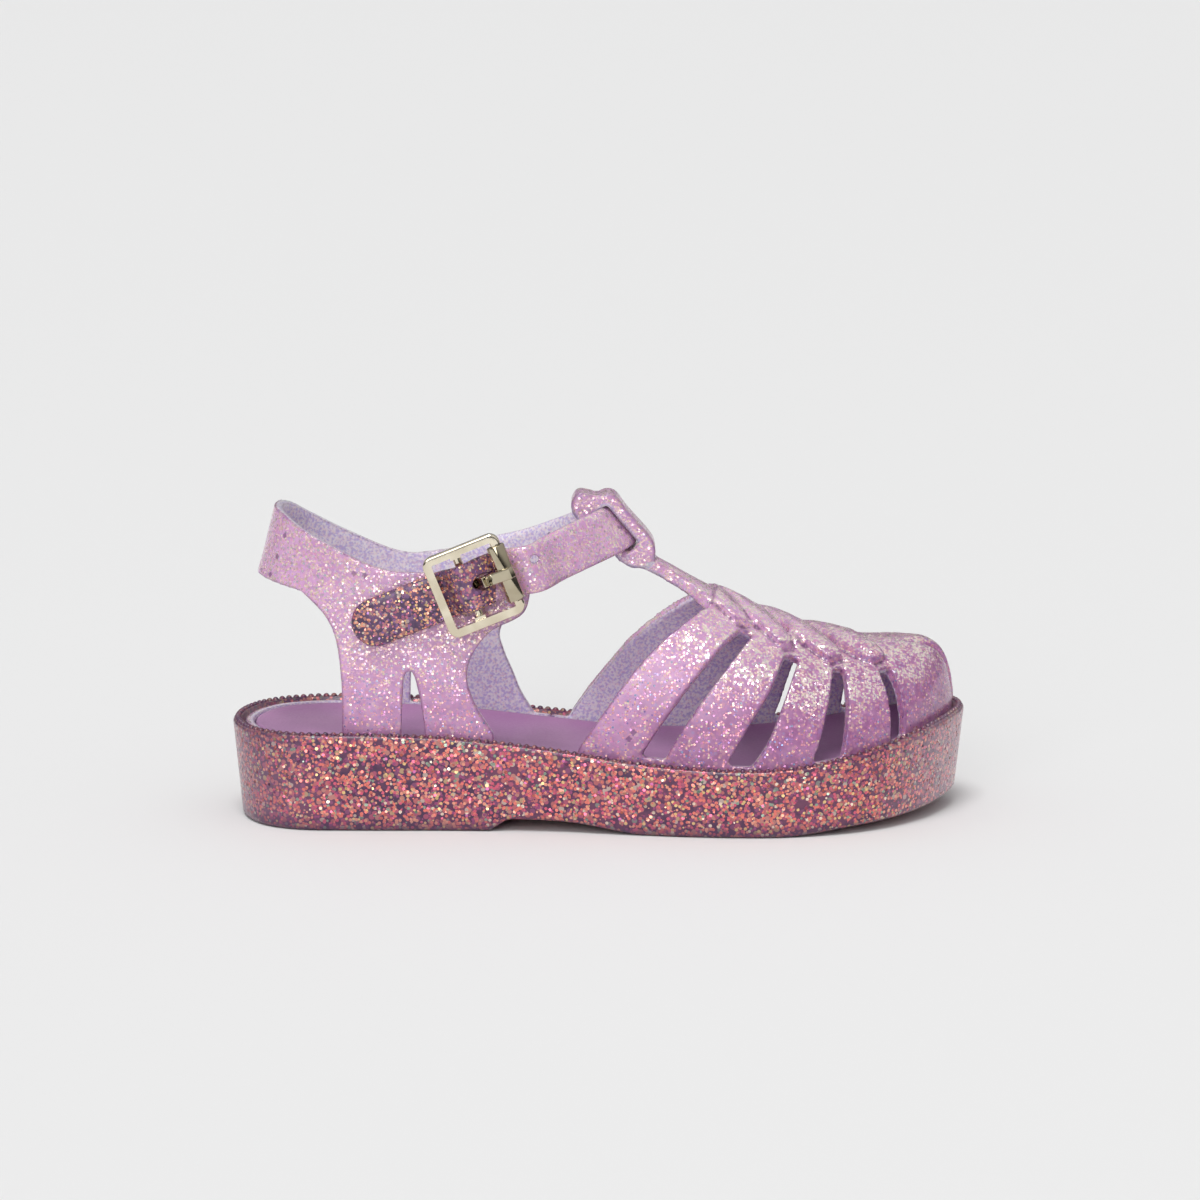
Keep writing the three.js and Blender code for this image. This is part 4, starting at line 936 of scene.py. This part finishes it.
def strap(u, v, layer):
    """The strap's skin: rounded at its long edges and at its free end."""
    total = STRAP_RUN[-1]
    at = u * total

    def middle_at(run):
        return np.column_stack([np.interp(run, STRAP_RUN, STRAP_LINE[:, k]) for k in range(3)])

    centre = middle_at(at)
    tangent = middle_at(np.minimum(at + 0.4, total)) - middle_at(np.maximum(at - 0.4, 0))
    tangent /= np.linalg.norm(tangent, axis=1, keepdims=True)
    lean = np.radians(np.interp(at, STRAP_RUN, STRAP_LEAN))
    width = np.column_stack([-np.sin(lean), 0 * lean, np.cos(lean)])
    width -= tangent * np.sum(width * tangent, axis=1, keepdims=True)
    width /= np.linalg.norm(width, axis=1, keepdims=True)
    out = np.cross(width, tangent)
    left = total - at
    round_off = STRAP_WIDTH / 2
    rounded = np.sqrt(np.maximum(0.4, round_off**2 - (round_off - left) ** 2))
    half = np.where(left < round_off, rounded, round_off)
    across = 2 * v - 1
    thick = STRAP_THICKNESS / 2 * np.clip(1 - np.abs(across) ** 7, 0.15, 1) ** 0.5
    thick = thick * np.clip(0.45 + left / 1.2, 0, 1)
    face = np.where(layer > 0.5, 1, -1)
    return centre + width * (across * half)[:, None] + out * (face * thick)[:, None]


def strap_hole(along, radius, stretch):
    turn = Matrix(((math.cos(BUCKLE_TILT), -math.sin(BUCKLE_TILT), 0), (0, 0, -1),
                   (math.sin(BUCKLE_TILT), math.cos(BUCKLE_TILT), 0))).to_4x4()
    middle = Matrix.Translation(in_scene(*in_buckle(along, 0, -1.5)))
    shape = bmesh.new()
    bmesh.ops.create_cone(shape, cap_ends=True, segments=32, radius1=radius * MM, radius2=radius * MM,
                          depth=9 * MM, matrix=middle @ turn @ Matrix.Diagonal((stretch, 1, 1, 1)))
    return solid(outward(shape))


quarter = solid(slab(150, 60, quarter_wall))
sides = cut(quarter_plate(LATERAL_QUARTER, -BALL_WIDTH, WALL),
            [quarter_plate(MEDIAL_QUARTER, -WALL, BALL_WIDTH)], "UNION")
quarter = cut(quarter, [sides], "INTERSECT")
leg_slot = [(x * LENGTH, collar_z(z)) for x, z in LEG_SLOT]
quarter = cut(quarter, [side_plate(leg_slot, -BALL_WIDTH, BALL_WIDTH)])
belt = cut(solid(slab(320, 16, strap)), [strap_hole(HOLE_PLACE, PRONG_HOLE, HOLE_STRETCH),
                                      strap_hole(HOLE_PLACE + SPARE_HOLE_SPACING, SPARE_HOLE, 1)])
quarter_piece = moulded([quarter, ring_part(0, RING_SPLIT)], "quarter", 0.42, 2, lilac)
strap_piece = moulded([belt], "ankle_strap", 0.3, 2, lilac)

# The strap's free end: where it is doubled past the buckle it looks darker, with dense coral flakes,
# and its surface is less even than the strap's own.
TAIL_FLAKES = [
    (0.0, rgb(246, 166, 142)), (0.34, rgb(250, 206, 150)), (0.52, rgb(206, 120, 150)),
    (0.68, rgb(150, 108, 160)), (0.86, rgb(240, 214, 196)),
]
TAIL_DARK_FROM = 5
tail_glitter = glitter(
    "tail_glitter", body=rgb(118, 80, 118), shade=rgb(70, 46, 80), edges=rgb(46, 26, 54), flakes=TAIL_FLAKES,
    size=0.66, reach=0.46, density=0.85, sunk_share=0.4, tilt=0.45, shine=0.8, rough=0.34, wavy=0.7)
strap_piece.data.materials.append(tail_glitter)
tail_end = (BUCKLE_X + TAIL_DARK_FROM - LENGTH / 2) * MM
for face in strap_piece.data.polygons:
    if face.center.x < tail_end and face.center.y < -ANKLE_HALF * MM:
        face.material_index = 1

# The upper's inner faces, which the lilac material reads as an attribute to paint them paler as light coming
# through from behind, are those that look to the foot.
# Each piece has a heart line in the foot's room, in metres, from rear to front at one side and height.
FOOT_HEARTS = [
    {"made": vamp_piece, "rear": -1, "front": 0.058, "side": 0.001, "height": 0.016},
    {"made": strap_piece, "rear": -0.03, "front": 0, "side": 0, "height": None},
    {"made": quarter_piece, "rear": -0.055, "front": 0, "side": 0, "height": None},
]
INNER_SHARPNESS = 400
for foot in FOOT_HEARTS:
    made = foot["made"]
    total = len(made.data.vertices)
    places = np.empty(total * 3, np.float32)
    normals = np.empty(total * 3, np.float32)
    made.data.vertices.foreach_get("co", places)
    made.data.vertex_normals.foreach_get("vector", normals)
    places, normals = places.reshape(-1, 3), normals.reshape(-1, 3)
    heart = places.copy()
    heart[:, 0] = np.clip(places[:, 0], foot["rear"], foot["front"])
    heart[:, 1] = foot["side"]
    if foot["height"] is not None:
        heart[:, 2] = foot["height"]
    facing = np.sum(normals * (places - heart), axis=1)
    inner = made.data.attributes.new("inner", "FLOAT", "POINT")
    inner.data.foreach_set("value", np.clip(0.5 - facing * INNER_SHARPNESS, 0, 1).astype(np.float32))

# The buckle: a square frame of pale gold plated wire with a bar across it, a bright sleeve that rolls on its
# front bar, and a flat bright prong round the middle bar, which comes up through the strap's hole.
FRAME_CORNER = 2.4
FRAME_INNER_CORNER = 0.35
PRONG_WIDTH = 2.6
PRONG_THICKNESS = 1.4


def metal(name, colour, rough, scratch):
    made = bpy.data.materials.new(name)
    made.use_nodes = True
    made.node_tree.nodes.clear()
    base = Finish(made.node_tree)
    spot = base.node("ShaderNodeTexCoord", output="Object")
    cast = base.node("ShaderNodeTexNoise", values={"Vector": spot, "Scale": 900.0, "Detail": 3.0})
    worn = base.node("ShaderNodeTexNoise", values={"Vector": spot, "Scale": 180.0, "Detail": 2.0})
    darker = (colour[0] * 0.82, colour[1] * 0.8, colour[2] * 0.76, 1)
    tone = worn.ramp(0.35, 0.65).colours(darker, colour)
    ripple = base.node("ShaderNodeBump", values={"Height": cast, "Strength": scratch, "Distance": 0.0002})
    skin = base.node("ShaderNodeBsdfPrincipled", values={
        "Base Color": tone, "Metallic": 1.0, "Roughness": cast.ramp(0.3, 0.7) * 0.06 + rough,
        "Normal": ripple})
    base.end("ShaderNodeOutputMaterial", skin)
    return made


pale_gold = metal("pale_gold", rgb(246, 236, 214), 0.09, 0.04)
bright_steel = metal("bright_steel", rgb(200, 190, 166), 0.05, 0.03)


def buckle_matrix(along, across, out):
    axes = [in_buckle(*a) - in_buckle(0, 0, 0) for a in ((1, 0, 0), (0, 1, 0), (0, 0, 1))]
    turn = Matrix(np.array(axes).T.tolist()).to_4x4()
    return Matrix.Translation(in_scene(*in_buckle(along, across, out))) @ turn @ Matrix.Scale(MM, 4)


def rod(shape, radius, low, high, along, out):
    spin = Matrix.Rotation(math.pi / 2, 4, "X")
    move = Matrix.Translation((0, (low + high) / 2, 0))
    bmesh.ops.create_cone(shape, cap_ends=True, segments=28, radius1=radius, radius2=radius,
                          depth=high - low, matrix=buckle_matrix(along, 0, out) @ move @ spin)


def box(shape, centre, size):
    bmesh.ops.create_cube(shape, size=1, matrix=buckle_matrix(*centre) @ Matrix.Diagonal((*size, 1)))


opening = FRAME_TALL / 2 - FRAME_BAR
path = []
for sx, sy, start in ((1, 1, 0), (-1, 1, 90), (-1, -1, 180), (1, -1, 270)):
    for turn in np.radians(np.linspace(start, start + 90, 9)):
        corner = np.array([sx * (FRAME_LONG / 2 - FRAME_CORNER), sy * (FRAME_TALL / 2 - FRAME_CORNER)])
        path.append((corner, np.array([math.cos(turn), math.sin(turn)])))
section = []
for turn in np.linspace(0, 2 * math.pi, 25):
    c, s = math.cos(turn), math.sin(turn)
    section.append((-FRAME_BAR / 2 + FRAME_BAR / 2 * math.copysign(abs(c) ** 0.35, c),
                    FRAME_THICKNESS / 2 * math.copysign(abs(s) ** 0.35, s)))
grid = np.array([[in_buckle(*(corner + way * max(FRAME_CORNER + inset, FRAME_INNER_CORNER)), out)
                  for inset, out in section] for corner, way in path + path[:1]])
hoop = solid(laid(grid.transpose(1, 0, 2)))
room = bmesh.new()
box(room, (FRONT_BAR + FRAME_BAR / 2, 0, 0), (FRAME_BAR * 3, 2 * opening, FRAME_THICKNESS * 3))
hoop = cut(hoop, [solid(room)])
bars = bmesh.new()
bars.from_mesh(hoop.data)
bpy.data.objects.remove(hoop)
rod(bars, BAR_RADIUS, -opening - 1, opening + 1, FRONT_BAR, 0)
rod(bars, BAR_RADIUS, -opening - 1, opening + 1, -BAR_BACK, -BAR_DROP)
for end in (-1, 1):
    box(bars, (-BAR_BACK, end * (opening + FRAME_BAR * 0.45), -(BAR_DROP + BAR_RADIUS) / 2),
        (BAR_RADIUS * 2.6, FRAME_BAR * 0.8, BAR_DROP + BAR_RADIUS))
bmesh.ops.recalc_face_normals(bars, faces=bars.faces)
hoop = piece(bars, "buckle_hoop", pale_gold, "buckle_frame")
hoop.data.set_sharp_from_angle(angle=math.radians(40))


def ring_round_bar(profile, steps):
    """A ring from a profile of distances from the bar and places along it."""
    shape = bmesh.new()
    line = [shape.verts.new((x, y, 0)) for x, y in profile]
    edges = [shape.edges.new((a, b)) for a, b in zip(line, line[1:] + line[:1])]
    bmesh.ops.spin(shape, geom=line + edges, cent=(0, 0, 0), axis=(0, 1, 0), angle=2 * math.pi, steps=steps,
                   use_merge=True)
    return shape


half = opening - ROLLER_GAP
bore = BAR_RADIUS + ROLLER_GAP
sleeve = ring_round_bar([
    (bore, -half), (ROLLER_RADIUS - 0.35, -half), (ROLLER_RADIUS - 0.1, -half + 0.1),
    (ROLLER_RADIUS, -half + 0.35), (ROLLER_RADIUS, half - 0.35), (ROLLER_RADIUS - 0.1, half - 0.1),
    (ROLLER_RADIUS - 0.35, half), (bore, half),
], 40)
bmesh.ops.transform(sleeve, matrix=buckle_matrix(FRONT_BAR, 0, 0), verts=sleeve.verts)
bmesh.ops.remove_doubles(sleeve, verts=sleeve.verts, dist=1e-7)
bmesh.ops.recalc_face_normals(sleeve, faces=sleeve.faces)
roller = piece(sleeve, "roller_sleeve", bright_steel, "buckle_roller")
roller.data.set_sharp_from_angle(angle=math.radians(40))

reach = FRONT_BAR + BAR_BACK + ROLLER_RADIUS
over = BAR_DROP + ROLLER_RADIUS + GAP
lift = over + PRONG_THICKNESS
root = bore + PRONG_EYE * 0.3
tongue = [(root, -0.8), (2.6, -0.4), (3.6, 0.8), (4.8, over - 0.7), (6, over), (reach, over - 0.1),
          (reach, over + 0.5), (reach - 0.9, lift), (5.2, lift), (4, over + 0.1), (2.9, 1.6), (2.1, 0.75),
          (root, 0.9)]
prong = bmesh.new()
corners = [prong.verts.new((x, -PRONG_WIDTH / 2, z)) for x, z in tongue]
face = bmesh.ops.contextual_create(prong, geom=corners)["faces"]
grown = bmesh.ops.extrude_face_region(prong, geom=face)["geom"]
moved = [v for v in grown if isinstance(v, bmesh.types.BMVert)]
bmesh.ops.translate(prong, verts=moved, vec=(0, PRONG_WIDTH, 0))
bmesh.ops.recalc_face_normals(prong, faces=prong.faces)
sharp = [e for e in prong.edges if e.is_manifold and e.calc_face_angle() > 1.2]
bmesh.ops.bevel(prong, geom=sharp, offset=0.28, affect="EDGES", segments=3, profile=0.5, material=-1)
bmesh.ops.transform(prong, matrix=buckle_matrix(-BAR_BACK, 0, -BAR_DROP), verts=prong.verts)
eye = ring_round_bar([(bore, -PRONG_WIDTH / 2), (EYE_RADIUS, -PRONG_WIDTH / 2),
                      (EYE_RADIUS, PRONG_WIDTH / 2), (bore, PRONG_WIDTH / 2)], 32)
bmesh.ops.transform(eye, matrix=buckle_matrix(-BAR_BACK, 0, -BAR_DROP), verts=eye.verts)
bmesh.ops.recalc_face_normals(eye, faces=eye.faces)
eye_form = solid(eye)
prong.from_mesh(eye_form.data)
bpy.data.objects.remove(eye_form)
prong = piece(prong, "prong", bright_steel, "buckle_prong")
prong.data.set_sharp_from_angle(angle=math.radians(40))
